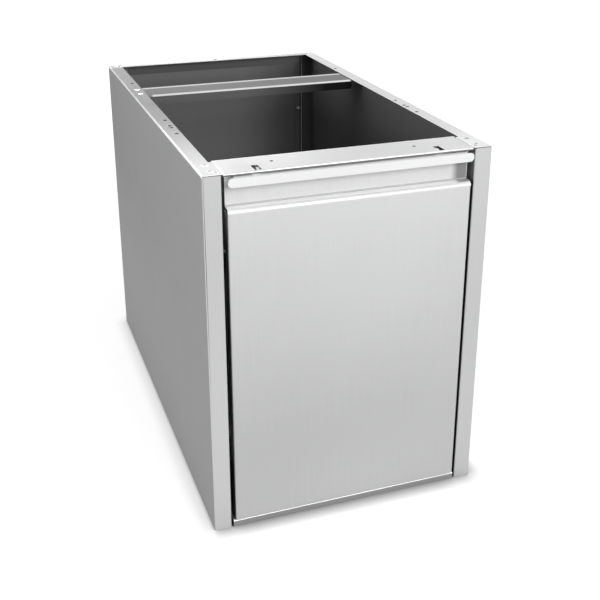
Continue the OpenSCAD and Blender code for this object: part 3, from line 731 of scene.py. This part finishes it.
class MeshBuilder:
    """Gathers grids of points into one mesh of closed shells."""

    SAME_POINT = 1e-7
    NO_LENGTH = 1e-8

    def __init__(self) -> None:
        """Starts with no points."""
        self.points: list[np.ndarray] = []
        self.faces: list[np.ndarray] = []
        self.count = 0

    def add_rings(self, grid: np.ndarray) -> None:
        """Adds rings of points as quads; the last point of each ring joins its first.

        Args:
            grid: Points in rings, shaped (rings, points of a ring, 3).
        """
        rings, sides = grid.shape[:2]
        index = np.arange(rings * sides).reshape(rings, sides) + self.count
        index = np.hstack([index, index[:, :1]])
        quads = np.stack([index[:-1, :-1], index[:-1, 1:], index[1:, 1:], index[1:, :-1]], axis=-1)
        self.points.append(grid.reshape(-1, 3))
        self.faces.append(quads.reshape(-1, 4))
        self.count += rings * sides

    def build(self, name: str, smooth_angle: float = 32.0) -> bpy.types.Object:
        """Makes the object: joins doubles, closes poles and turns the faces outwards.

        Args:
            name: Name of the piece.
            smooth_angle: Edges that turn by more than this many degrees stay sharp.

        Returns:
            The new object, at the origin.
        """
        mesh = bpy.data.meshes.new(name)
        mesh.from_pydata(np.vstack(self.points), [], np.vstack(self.faces))
        shape = bmesh.new()
        shape.from_mesh(mesh)
        bmesh.ops.remove_doubles(shape, verts=shape.verts, dist=self.SAME_POINT)
        bmesh.ops.dissolve_degenerate(shape, edges=shape.edges, dist=self.NO_LENGTH)
        bmesh.ops.recalc_face_normals(shape, faces=shape.faces)
        shape.to_mesh(mesh)
        shape.free()
        mesh.polygons.foreach_set("use_smooth", np.ones(len(mesh.polygons), dtype=bool))
        mesh.set_sharp_from_angle(angle=math.radians(smooth_angle))
        piece = bpy.data.objects.new(name, mesh)
        bpy.context.scene.collection.objects.link(piece)
        return piece


def fit_piece(piece: bpy.types.Object, material: bpy.types.Material, body: str,
              nodes: Iterable[str] = ()) -> None:
    """Gives a piece its finish and its place in the part.

    Args:
        piece: The piece.
        material: Its finish.
        body: Body that it rides on.
        nodes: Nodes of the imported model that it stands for.
    """
    piece.data.materials.append(material)
    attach(piece, body)
    if nodes:
        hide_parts(*nodes)
    LOG.info("%s rides on %s, %d faces", piece.name, body, len(piece.data.polygons))


class Drive(Enum):
    """What a screw's head is turned by."""

    PLAIN = "plain"
    CROSS = "cross"
    SOCKET = "socket"
    MANDREL = "mandrel"


@dataclass(frozen=True)
class TurnedPart:
    """A part of round section about an axis, such as a screw, a nut or a rivet.

    The section gives pairs of radius and height in millimetres, and the surface is
    base + height * axis + radius * (cos t * u + sin t * v).
    """

    base: np.ndarray
    axis: Triple
    sides: int = 48
    thread_depth: float = 0.14
    thread_start: float = 0.6

    def frame(self) -> tuple[np.ndarray, np.ndarray, np.ndarray]:
        """Directions that the part is turned in.

        Returns:
            The axis and two directions square to it.
        """
        along = np.array(self.axis, dtype=float)
        helper = np.array([0.0, 0.0, 1.0]) if abs(along[2]) < 0.9 else np.array([1.0, 0.0, 0.0])
        u = np.cross(helper, along)
        u /= np.linalg.norm(u)
        return along, u, np.cross(along, u)

    def turns(self) -> np.ndarray:
        """Angles of the points of a ring."""
        return np.linspace(0.0, 2 * np.pi, self.sides, endpoint=False)

    def grid(self, radius: np.ndarray, height: np.ndarray) -> np.ndarray:
        """Puts rings of points about the axis.

        Args:
            radius: Radius of each point, shaped (rings, sides).
            height: Height of each point along the axis, shaped the same.

        Returns:
            Points shaped (rings, sides, 3).
        """
        along, u, v = self.frame()
        turn = self.turns()[None, :, None]
        r, h = radius[..., None] * MM, height[..., None] * MM
        return self.base + h * along + r * (np.cos(turn) * u + np.sin(turn) * v)

    def recess(self, radius: np.ndarray, drive: Drive, reach: float) -> np.ndarray:
        """Shape of the recess that turns a head.

        A cross is two bars, |x| below a fifth of the reach with |y| below the reach and the other way
        round, shallower towards their ends. A socket is the inside of a hexagon, and a mandrel's hole a disc.

        Args:
            radius: Radius of each point, shaped (rings, sides).
            drive: Kind of recess.
            reach: Its reach from the axis.

        Returns:
            Depth at each point, as a share of the full depth.
        """
        turn = self.turns()[None, :]
        if drive is Drive.CROSS:
            x, y = radius * np.cos(turn), radius * np.sin(turn)
            arm = reach * 0.2
            one = smooth_step(np.abs(x), arm, 0.2) * smooth_step(np.abs(y), reach, 0.3)
            two = smooth_step(np.abs(y), arm, 0.2) * smooth_step(np.abs(x), reach, 0.3)
            return np.maximum(one, two) * (1.0 - 0.45 * np.hypot(x, y) / reach)
        if drive is Drive.SOCKET:
            sector = turn % (np.pi / 3) - np.pi / 6
            return smooth_step(radius * np.cos(sector), reach, 0.2)
        if drive is Drive.MANDREL:
            return smooth_step(radius, reach, 0.2)
        return np.zeros_like(radius)

    def sweep(self, section: np.ndarray, hexagon: float = 0.0, pitch: float = 0.0,
              drive: Drive = Drive.PLAIN, drive_size: float = 0.0, drive_depth: float = 0.0) -> np.ndarray:
        """Turns a section about the axis.

        A hexagon cuts the radius to half its width over the cosine of the angle from the nearest flat's
        middle. A thread lowers the radius by a triangle wave of height over pitch less the turn.

        Args:
            section: Pairs of radius and height in millimetres.
            hexagon: Distance between two flats, or nought for a round part.
            pitch: Pitch of a thread along the whole section, or nought for none.
            drive: Recess in the upper end.
            drive_size: Reach of the recess from the axis.
            drive_depth: Depth of the recess.

        Returns:
            Points shaped (rings, sides, 3).
        """
        turn = self.turns()[None, :]
        radius = np.repeat(section[:, :1], self.sides, axis=1)
        height = np.repeat(section[:, 1:], self.sides, axis=1)
        if hexagon:
            sector = (turn + np.pi / 6) % (np.pi / 3) - np.pi / 6
            radius = np.minimum(radius, hexagon / 2 / np.cos(sector))
        if pitch:
            wave = np.abs((height / pitch - turn / (2 * np.pi)) % 1.0 - 0.5) * 2.0
            radius = radius * (1.0 - self.thread_depth * wave * (radius > self.thread_start * radius.max()))
        cut = self.recess(radius, drive, drive_size)
        upper = (np.arange(len(section)) >= np.argmax(section[:, 1]) - 1)[:, None]
        return self.grid(radius, height - upper * cut * drive_depth)


def domed_head(radius: float, rise: float, flat: float, corner: float = 0.7) -> np.ndarray:
    """Section of a screw's head: from its underside round a domed edge to the middle of its top.

    The edge is (flat + (radius - flat) * cos(t) ** corner, rise * sin(t) ** corner) over a quarter turn.

    Args:
        radius: Radius of the head.
        rise: Height of the head.
        flat: Radius of the flat middle.
        corner: Power that squares the edge; one gives a quarter of an ellipse.

    Returns:
        Pairs of radius and height.
    """
    turn = np.linspace(0.0, np.pi / 2, 14)
    edge = np.stack([flat + (radius - flat) * np.cos(turn) ** corner, rise * np.sin(turn) ** corner], axis=1)
    top = np.stack([np.linspace(flat, 0.0, 22)[1:], np.full(21, rise)], axis=1)
    return np.vstack([[[0.0, 0.0]], edge, top])


def plain_shank(radius: float, start: float, end: float, rows: int) -> np.ndarray:
    """Section of a shank between two heights, with a small chamfer at its free end.

    Args:
        radius: Radius of the shank.
        start: Height at the head.
        end: Height where the chamfer starts.
        rows: Number of rings between them.

    Returns:
        Pairs of radius and height.
    """
    body = np.stack([np.full(rows, radius), np.linspace(start, end, rows)], axis=1)
    tip = end + math.copysign(0.5, end - start)
    return np.vstack([[[0.0, start]], body, [[radius * 0.72, tip], [0.0, tip]]])


@dataclass(frozen=True)
class Screw:
    """A kind of screw or rivet: sections of its head and shank, its recess and its thread."""

    head: np.ndarray
    shank: np.ndarray
    drive: Drive
    drive_size: float
    drive_depth: float
    pitch: float = 0.0
    sides: int = 48

    def put(self, mesh: MeshBuilder, place: np.ndarray, axis: Triple) -> None:
        """Adds one of this kind to a mesh.

        Args:
            mesh: Mesh that takes it.
            place: Middle of the face that the head's heights start from.
            axis: Direction that the head looks in.
        """
        part = TurnedPart(place, axis, self.sides)
        mesh.add_rings(part.sweep(self.head, drive=self.drive, drive_size=self.drive_size,
                                  drive_depth=self.drive_depth))
        mesh.add_rings(part.sweep(self.shank, pitch=self.pitch))


@dataclass
class Fasteners:
    """Screws, nuts and rivets that the solids show as plain rods; sizes in millimetres."""

    finishes: Finishes
    m4: float = 2.0
    m5: float = 2.5
    m4_head: float = 4.0
    m5_head: float = 4.6
    m4_pitch: float = 0.7
    m5_pitch: float = 0.8
    slide_z: float = SLIDE_Z
    slide_start: float = 20.0
    slide_depths: Triple = (25.0, 250.0, 475.0)
    support_side: float = SUPPORT_SIDE
    sunk: float = 1.15
    tray_side: float = 161.8
    tray_sheet: float = 1.0
    tray_depths: Triple = (105.0, 280.0, 460.0)
    inner_face: float = 14.0
    bracket_t: float = 2.0
    bracket_side: float = 150.0
    front_heights: Triple = (80.0, 240.0, 390.0)
    bracket_places: tuple[Pair, ...] = ((60.0, 45.0), (85.0, 75.0))
    nut_flats: float = 8.0
    rivet_side: float = 170.0
    rivet_depth: float = 697.0
    rivet_heights: Triple = (110.0, 261.0, 412.0)

    def tray_screws(self, side: int) -> bpy.types.Object:
        """Pan head screws from the tray into the slide's inner member.

        Args:
            side: Minus one for the left side, one for the right.

        Returns:
            The set of one side.
        """
        mesh = MeshBuilder()
        screw = Screw(domed_head(self.m4_head, rise=2.2, flat=1.9, corner=0.6),
                      plain_shank(self.m4, start=0.2, end=-4.2, rows=40),
                      Drive.CROSS, drive_size=2.1, drive_depth=1.5, pitch=self.m4_pitch)
        x = side * (self.tray_side - self.tray_sheet)
        for depth in self.tray_depths:
            screw.put(mesh, at(x, self.slide_start + depth, self.slide_z), (-side, 0, 0))
        return mesh.build("tray_screw_set_" + SIDE_NAMES[side])

    def slide_screws(self, side: int) -> bpy.types.Object:
        """Sunk head screws from the slide's outer member into its support.

        Args:
            side: Minus one for the left side, one for the right.

        Returns:
            The set of one side.
        """
        mesh = MeshBuilder()
        head = np.vstack([[[0.0, -self.sunk], [2.05, -self.sunk], [3.45, -0.08], [3.4, 0.0]],
                          np.stack([np.linspace(3.3, 0.0, 34), np.zeros(34)], axis=1)])
        screw = Screw(head, plain_shank(self.m4, start=-0.8, end=-7.9, rows=60),
                      Drive.CROSS, drive_size=2.0, drive_depth=1.0, pitch=self.m4_pitch)
        x = side * (self.support_side - self.sunk)
        for depth in self.slide_depths:
            screw.put(mesh, at(x, self.slide_start + depth, self.slide_z), (-side, 0, 0))
        return mesh.build("slide_screw_set_" + SIDE_NAMES[side])

    def front_screws(self) -> bpy.types.Object:
        """Button head screws with a hexagon socket, from the uprights into the front.

        Returns:
            The set of both sides.
        """
        mesh = MeshBuilder()
        screw = Screw(domed_head(self.m5_head, rise=2.6, flat=2.6, corner=0.85),
                      plain_shank(self.m5, start=0.2, end=-7.4, rows=60),
                      Drive.SOCKET, drive_size=1.5, drive_depth=1.6, pitch=self.m5_pitch)
        for side in SIDE_NAMES:
            for z in self.front_heights:
                screw.put(mesh, at(side * self.bracket_side, self.inner_face + self.bracket_t, z), (0, 1, 0))
        return mesh.build("front_screw_set")

    def bracket_screws(self) -> bpy.types.Object:
        """Screws with hexagon nuts that tie the uprights to the tray's sides.

        Returns:
            The set of both sides.
        """
        mesh = MeshBuilder()
        screw = Screw(domed_head(self.m5_head, rise=2.6, flat=2.2, corner=0.6),
                      plain_shank(self.m5, start=0.2, end=-7.5, rows=64),
                      Drive.CROSS, drive_size=2.4, drive_depth=1.7, pitch=self.m5_pitch)
        nut = np.array([[0.0, 0.0], [4.1, 0.0], [4.7, 0.35], [4.7, 3.65], [4.1, 4.0], [2.9, 4.0], [2.45, 3.5],
                        [0.0, 3.5]])
        inner = self.tray_side - self.tray_sheet - self.bracket_t
        for side in SIDE_NAMES:
            for depth, z in self.bracket_places:
                screw.put(mesh, at(side * inner, depth, z), (-side, 0, 0))
                tail = TurnedPart(at(side * self.tray_side, depth, z), (side, 0, 0), sides=72)
                mesh.add_rings(tail.sweep(nut, hexagon=self.nut_flats))
        return mesh.build("bracket_screw_set", smooth_angle=25.0)

    def rivets(self) -> bpy.types.Object:
        """Blind rivets of the back sheet: domed inner ends with the hole of the drawn pin.

        Returns:
            The set of both upright edges.
        """
        mesh = MeshBuilder()
        rivet = Screw(domed_head(3.2, rise=1.3, flat=1.5, corner=0.9),
                      plain_shank(1.6, start=0.1, end=-2.4, rows=6),
                      Drive.MANDREL, drive_size=0.8, drive_depth=0.8, sides=40)
        for side in SIDE_NAMES:
            for z in self.rivet_heights:
                rivet.put(mesh, at(side * self.rivet_side, self.rivet_depth, z), (0, -1, 0))
        return mesh.build("back_rivet_set")

    def build(self) -> None:
        """Makes every set and puts it in place of its plain node."""
        steel = self.finishes.made["screw_zinc"]
        for side, name in SIDE_NAMES.items():
            fit_piece(self.tray_screws(side), steel, "drawer", ["tray_screws_" + name])
            fit_piece(self.slide_screws(side), steel, "carcass", ["slide_screws_" + name])
        fit_piece(self.front_screws(), steel, "drawer", ["front_bracket_screws"])
        fit_piece(self.bracket_screws(), steel, "drawer", ["tray_bracket_screws"])
        fit_piece(self.rivets(), steel, "carcass", ["rear_panel_rivets"])


@dataclass
class ClinchMarks:
    """Round press-joint dishes in the top flanges; each sits in its blind hole, below the flange's top.

    Each mark has its distance from the panel's outer face, its depth and its radius, in millimetres.
    """

    finishes: Finishes
    top: float = 522.0
    hole: float = 0.45
    bowl_share: float = 0.82
    marks: tuple[Triple, ...] = (
        (15.0, 42.0, 5.0), (15.0, 16.0, 3.2), (20.5, 9.0, 3.2), (13.5, 457.0, 4.5), (13.5, 487.0, 4.5),
        (12.5, 691.0, 3.2), (17.0, 684.0, 3.2))

    def dish(self, radius: float) -> np.ndarray:
        """Section of one dish: a flush rim and a bowl, whose depth follows half of a cosine wave.

        Args:
            radius: Radius of the dish.

        Returns:
            Pairs of radius and height.
        """
        reach = np.linspace(radius * self.bowl_share, 0.0, 14)
        wave = 1.0 + np.cos(np.pi * reach / (radius * self.bowl_share))
        bowl = -0.04 - (self.hole - 0.06) * 0.5 * wave
        low, wall = -self.hole - 0.1, radius - 0.02
        rim = [[0.0, low], [wall, low], [wall, -0.03], [radius * 0.93, 0.0], [radius * 0.86, -0.01]]
        return np.vstack([rim, np.stack([reach, bowl], axis=1)])

    def build(self) -> None:
        """Makes the marks of both side panels."""
        half = float(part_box("side_panel_right")[1][0]) / MM
        for side, name in SIDE_NAMES.items():
            mesh = MeshBuilder()
            for inset, depth, radius in self.marks:
                part = TurnedPart(at(side * (half - inset), depth, self.top), (0, 0, 1), sides=36)
                mesh.add_rings(part.sweep(self.dish(radius)))
            fit_piece(mesh.build("clinch_marks_" + name), self.finishes.made["clinch_sheet"], "carcass")


@dataclass
class SlideBuffers:
    """Rubber blocks behind the slides that the pull-out comes to rest against; sizes in millimetres."""

    finishes: Finishes
    near: float = 520.4
    thick: float = 6.0
    reach: float = 11.0
    half: float = 13.0
    square: float = 0.42
    bevel: float = 1.2
    soft: float = 0.4
    clear: float = 0.02
    support_side: float = SUPPORT_SIDE
    slide_z: float = SLIDE_Z

    def block(self, side: int) -> np.ndarray:
        """A rounded block: a superellipse seen from the front, with soft edges through its thickness.

        A ring is (a * cos(t) ** square, b * sin(t) ** square) with the signs of cosine and sine, where a and
        b are half the block's width and height, less the inset of the ring.

        Args:
            side: Minus one for the left side, one for the right.

        Returns:
            Points shaped (rings, sides, 3).
        """
        turn = np.linspace(0.0, 2 * np.pi, 48, endpoint=False)
        across = np.sign(np.cos(turn)) * np.abs(np.cos(turn)) ** self.square * self.reach / 2
        up = np.sign(np.sin(turn)) * np.abs(np.sin(turn)) ** self.square * self.half
        edge = np.array([0.0, 0.0, self.soft, self.bevel])
        through = np.concatenate([edge, self.thick - edge[::-1]])
        inset = np.array([self.reach, self.bevel, self.soft, 0.0])
        inset = np.concatenate([inset, inset[::-1]])
        scale_x = np.clip(1.0 - inset / (self.reach / 2), 0.0, 1.0)[:, None]
        scale_z = np.clip(1.0 - inset / self.half, 0.0, 1.0)[:, None] * (scale_x > 0)
        x = side * (self.support_side - self.reach / 2 - self.clear + across[None, :] * scale_x)
        y = np.repeat(self.near + through[:, None], len(turn), axis=1)
        z = self.slide_z + up[None, :] * scale_z
        return np.stack([x * MM, POST_FACE + y * MM, z * MM], axis=-1)

    def build(self) -> None:
        """Makes a block for each slide."""
        for side, name in SIDE_NAMES.items():
            mesh = MeshBuilder()
            mesh.add_rings(self.block(side))
            fit_piece(mesh.build("slide_buffer_" + name), self.finishes.made["buffer_rubber"], "carcass")


@dataclass
class WasteBin:
    """Moulded bin: tapered shell with a turned-down rim, recessed side fields and a deeper grip at each end.

    Every ring is a rounded rectangle: a point is (ux * (a - r) + r * nx, uy * (b - r) + r * ny), where a and
    b are half the ring's width and length, r its corner radius, (ux, uy) runs round a unit square and
    (nx, ny) is the way out. Sizes in millimetres; the field's ends are shares of the bin's height, and its
    window and ribs are counted in halves of a side.
    """

    finishes: Finishes
    middle_depth: float = 250.0
    wall: float = 2.5
    taper: float = 18.0
    rim_w: float = 6.0
    rim_h: float = 14.0
    corner: float = 28.0
    foot_corner: float = 24.0
    grip_drop: float = 10.0
    grip_half: float = 58.0
    grip_slope: float = 26.0
    field: float = 1.1
    field_low: float = 0.1
    field_high: float = 0.84
    field_ramp: float = 0.03
    window: float = 0.86
    window_ramp: float = 0.06
    rib_waves: float = 3.5
    rib_top: float = 0.93
    rib_height: float = 0.55
    to_middle: float = 400.0
    corner_points: int = 10
    side_points: int = 40

    def __post_init__(self) -> None:
        """Takes the bin's outer sizes from its node."""
        low, high = (np.array(corner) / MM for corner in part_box("waste_bin"))
        self.half_x = (high[0] - low[0]) / 2
        self.half_y = (high[1] - low[1]) / 2
        self.low_z, self.high_z = float(low[2]), float(high[2])

    def ring(self) -> tuple[np.ndarray, ...]:
        """Points round a unit square with rounded corners.

        Returns:
            Positions X and Y on the square, and ways out X and Y, for each point.
        """
        ux, uy, nx, ny = [], [], [], []
        for quarter in range(4):
            start = quarter * np.pi / 2
            turn = start + np.linspace(-np.pi / 4, np.pi / 4, 2)
            corner = np.sqrt(2) * np.array([np.cos(turn), np.sin(turn)])
            along = np.linspace(0.0, 1.0, self.side_points, endpoint=False)
            ux.append(corner[0][0] + (corner[0][1] - corner[0][0]) * along)
            uy.append(corner[1][0] + (corner[1][1] - corner[1][0]) * along)
            nx.append(np.full(self.side_points, np.cos(start)))
            ny.append(np.full(self.side_points, np.sin(start)))
            bend = start + np.linspace(0.0, np.pi / 2, self.corner_points, endpoint=False)
            ux.append(np.full(self.corner_points, corner[0][1]))
            uy.append(np.full(self.corner_points, corner[1][1]))
            nx.append(np.cos(bend))
            ny.append(np.sin(bend))
        return tuple(np.concatenate(part) for part in (ux, uy, nx, ny))

    def wall_rows(self, shares: np.ndarray, thick: float) -> list[tuple[float, ...]]:
        """Rows of the tub's wall, whose side field starts and ends with a short ramp.

        Args:
            shares: Heights of the rows, as shares of the bin's height.
            thick: Nought for the outer face, the wall's thickness for the inner one.

        Returns:
            Rows in the form that profile gives them.
        """
        rows = []
        for share in shares:
            field = (np.clip((share - self.field_low) / self.field_ramp, 0, 1)
                     * np.clip((self.field_high - share) / self.field_ramp, 0, 1))
            inset = self.rim_w + thick + self.taper * (1 - share)
            height = self.low_z + share * (self.high_z - self.low_z)
            radius = self.foot_corner - thick + share * (self.corner - self.foot_corner)
            rows.append((inset, height, radius, float(field), 0))
        return rows

    def profile(self) -> np.ndarray:
        """Rows of the shell, from the middle of the underside out and up, over the rim and down inside.

        Returns:
            For each row the inset from the rim, the height, the corner radius and the shares of the side
            field and of the grip.
        """
        low, top, lip = self.low_z, self.high_z, self.high_z - self.rim_h
        tub, wall, corner = self.rim_w, self.wall, self.corner
        foot, inner = tub + self.taper, tub + wall + self.taper
        underside = [
            (self.to_middle, low + 2.0, 1.0, 0, 0), (foot + 14, low + 2.0, 14.0, 0, 0),
            (foot + 11, low + 0.2, 16.0, 0, 0), (foot + 5, low, 20.0, 0, 0),
            (foot + 1.6, low + 1.6, 22.5, 0, 0), (foot, low + 5, self.foot_corner, 0, 0)]
        rim = [
            (tub + 0.9, top - 3.4, corner, 0, 0), (tub + 0.2, top - 2.7, corner, 0, 0),
            (wall + 0.8, top - 2.7, corner + 3, 0, 0), (wall, top - 3.6, corner + 3.5, 0, 0),
            (wall, lip + 0.6, corner + 3.5, 0, 1), (wall - 0.7, lip, corner + 4, 0, 1),
            (0.7, lip, corner + 5, 0, 1), (0.0, lip + 0.7, corner + 6, 0, 1),
            (0.0, top - 3.2, corner + 6, 0, 0), (0.35, top - 1.3, corner + 5.6, 0, 0),
            (1.4, top - 0.3, corner + 5, 0, 0), (2.8, top, corner + 4, 0, 0),
            (tub - 0.6, top, corner + 1, 0, 0), (tub + wall - 0.8, top - 0.9, corner - 1.8, 0, 0),
            (tub + wall, top - 2.6, corner - wall, 0, 0)]
        floor = [
            (inner + 0.9, low + 9.0, 20.0, 0, 0), (inner + 3.5, low + 6.0, 18.0, 0, 0),
            (inner + 9, low + 4.7, 14.0, 0, 0), (self.to_middle, low + 4.7, 1.0, 0, 0)]
        outside = self.wall_rows(np.linspace(0.04, 0.93, 26), 0.0)
        inside = self.wall_rows(np.linspace(0.96, 0.05, 28), wall)
        return np.array([*underside, *outside, *rim, *inside, *floor], dtype=float)

    def grid(self) -> np.ndarray:
        """Points of the shell.

        The field sinks by its share along each side's window, less where a cosine wave along the side leaves
        a rib, and the rim's skirt drops at the middle of each end for the grip.

        Returns:
            Points shaped (rows, ring, 3).
        """
        ux, uy, nx, ny = self.ring()
        inset, z, radius, field, grip = self.profile().T[:, :, None]
        a = np.maximum(self.half_x - inset, 0.0)
        b = np.maximum(self.half_y - inset, 0.0)
        r = np.minimum(radius, np.minimum(a, b))
        flat_side = np.where(np.abs(nx) > np.abs(ny), np.abs(uy), np.abs(ux))
        straight = (np.abs(nx) + np.abs(ny)) < 1.0001
        window = smooth_step(flat_side, self.window, self.window_ramp) * straight
        ribs = 0.5 + 0.5 * np.cos(2 * np.pi * self.rib_waves * np.clip(flat_side, 0, 1))
        sink = field * window * self.field * (1.0 - self.rib_height * (ribs > self.rib_top))
        ends = smooth_step(np.abs(ux) * (self.half_x - self.corner), self.grip_half, self.grip_slope)
        x = ux * (a - r) + (r - sink) * nx
        y = uy * (b - r) + (r - sink) * ny
        up = z - grip * self.grip_drop * ends * (np.abs(ny) > 0.5)
        return np.stack([x * MM, POST_FACE + (self.middle_depth + y) * MM, up * MM], axis=-1)

    def build(self) -> None:
        """Makes the shell and puts it in place of the plain bin."""
        mesh = MeshBuilder()
        mesh.add_rings(self.grid())
        fit_piece(mesh.build("bin_shell"), self.finishes.made["bin_plastic"], "bin",
                  ["waste_bin"])


@dataclass(frozen=True)
class SoftLamp:
    """A square soft lamp.

    It has the place where it hangs, the length of its side, and its share of the light at which a colour
    shows as written.
    """

    name: str
    place: Triple
    size: float
    level: float

    def hang(self, aim: Triple) -> None:
        """Adds the lamp.

        Args:
            aim: The point that it faces.
        """
        away = Vector(self.place) - Vector(aim)
        data = bpy.data.lights.new(self.name, "AREA")
        data.size = self.size
        data.energy = self.level * math.pi ** 2 * away.length_squared
        lamp = bpy.data.objects.new(self.name, data)
        lamp.location = self.place
        lamp.rotation_mode = "QUATERNION"
        lamp.rotation_quaternion = away.to_track_quat("Z", "Y")
        bpy.context.scene.collection.objects.link(lamp)


@dataclass
class Studio:
    """Pale floor, white surroundings and soft lamps.

    The floor's glow rises from near_glow to one between two distances from the middle, and a painted contact
    shadow darkens it within a short distance of the cabinet, less on the left side.
    """

    reach: float = 14.0
    floor_colour: float = 0.22
    near_glow: float = 0.88
    near: float = 0.75
    far: float = 1.9
    # reach and strength of the painted contact shadow, and its share on the left side
    contact: float = 0.027
    contact_power: float = 1.9
    side_contact: float = 0.4
    side_ramp: float = 4 * MM
    grain_scale: float = 90.0
    ambient: float = 0.10
    middle: Triple = (0.0, 0.0, 0.3)
    lamps: tuple[SoftLamp, ...] = (
        SoftLamp("front_lamp", (0.56, -2.8, 1.61), size=1.44, level=0.725),
        SoftLamp("top_lamp", (0.3, -0.3, 3.2), size=2.4, level=0.42),
        SoftLamp("back_lamp", (0.4, 3.4, 0.8), size=1.4, level=0.34),
        SoftLamp("left_lamp", (-3.4, 0.1, 0.8), size=1.4, level=0.46))

    def world(self) -> None:
        """White for the camera and for reflections, and a dimmer even light on matt surfaces."""
        world = bpy.data.worlds.new("studio_world")
        world.use_nodes = True
        bpy.context.scene.world = world
        g = Graph(world.node_tree)
        back = g.add("Background")
        back.inputs["Color"].default_value = WHITE
        g.feed(back.inputs["Strength"], g.span(g.seen_rays(), 0.0, 1.0, self.ambient, 1.0))
        g.feed(g.add("OutputWorld").inputs["Surface"], back.outputs["Background"])

    def floor_finish(self) -> bpy.types.Material:
        """Pale matt finish that glows white for the camera and reflections, with a painted contact shadow
        near the cabinet.

        Returns:
            The finished material.
        """
        material, g = new_material("pale_floor")
        away = g.add("VectorMath", operation="LENGTH")
        g.feed(away.inputs[0], g.place())
        glow = g.span(away.outputs["Value"], self.near, self.far, self.near_glow, 1.0)
        # painted contact shadow: the glow darkens by the occlusion near the cabinet, less on its left side
        corner = g.add("AmbientOcclusion", samples=8, inside=False)
        corner.inputs["Distance"].default_value = self.contact
        dark = g.math("SUBTRACT", 1.0, g.math("POWER", corner.outputs["AO"], self.contact_power))
        edge = float(CAD_BOX[0][0])
        weight = g.span(g.split(g.place()).outputs["X"], edge - self.side_ramp, edge + self.side_ramp,
                        self.side_contact, 1.0)
        shade = g.math("SUBTRACT", 1.0, g.math("MULTIPLY", dark, weight))
        grain = g.noise(g.place(), self.grain_scale, detail=4.0)
        dull, pale = (self.floor_colour * level for level in (0.97, 1.03))
        tint = g.blend(grain, (dull, dull, dull, 1.0), (pale, pale, pale, 1.0))
        surface(g, Base_Color=tint, Roughness=0.9, Emission_Color=WHITE, Specular_IOR_Level=0.0,
                Emission_Strength=g.math("MULTIPLY", g.math("MULTIPLY", g.seen_rays(), glow), shade))
        return material

    def floor(self) -> None:
        """Lays the wide floor that takes the shadow."""
        half = self.reach / 2
        mesh = bpy.data.meshes.new("studio_floor")
        mesh.from_pydata([(-half, -half, 0), (half, -half, 0), (half, half, 0), (-half, half, 0)], [],
                         [(0, 1, 2, 3)])
        mesh.materials.append(self.floor_finish())
        floor = bpy.data.objects.new("studio_floor", mesh)
        bpy.context.scene.collection.objects.link(floor)

    def build(self) -> None:
        """Sets up the world, the floor and the lamps."""
        self.world()
        self.floor()
        for lamp in self.lamps:
            lamp.hang(self.middle)
        LOG.info("the studio has %d lamps", len(self.lamps))


@dataclass
class PhotoCamera:
    """Camera that sees the cabinet as the photograph does; its angles are in degrees."""

    place: Triple = (-0.4613, -1.4407, 0.8863)
    turn: float = 19.52
    tilt: float = 21.064
    lens: float = 58.298
    sensor: float = 36.0
    shift: float = -0.12
    near: float = 0.05

    def build(self) -> None:
        """Adds the camera and makes it the scene's."""
        data = bpy.data.cameras.new("photo_camera")
        data.lens = self.lens
        data.sensor_width = self.sensor
        data.shift_y = self.shift
        data.clip_start = self.near
        camera = bpy.data.objects.new("photo_camera", data)
        camera.location = self.place
        camera.rotation_euler = (math.radians(90.0 - self.tilt), 0.0, math.radians(-self.turn))
        bpy.context.scene.collection.objects.link(camera)
        bpy.context.scene.camera = camera


def main() -> None:
    """Builds the scene in order: finishes, small fittings, bin, studio and camera."""
    logging.basicConfig(level=logging.INFO, format="%(message)s")
    bpy.context.scene.view_settings.view_transform = "Standard"
    finishes = Finishes()
    finishes.dress()
    for sub_assembly in (Fasteners, ClinchMarks, SlideBuffers, WasteBin):
        sub_assembly(finishes).build()
    Studio().build()
    PhotoCamera().build()


if __name__ == "__main__":
    main()
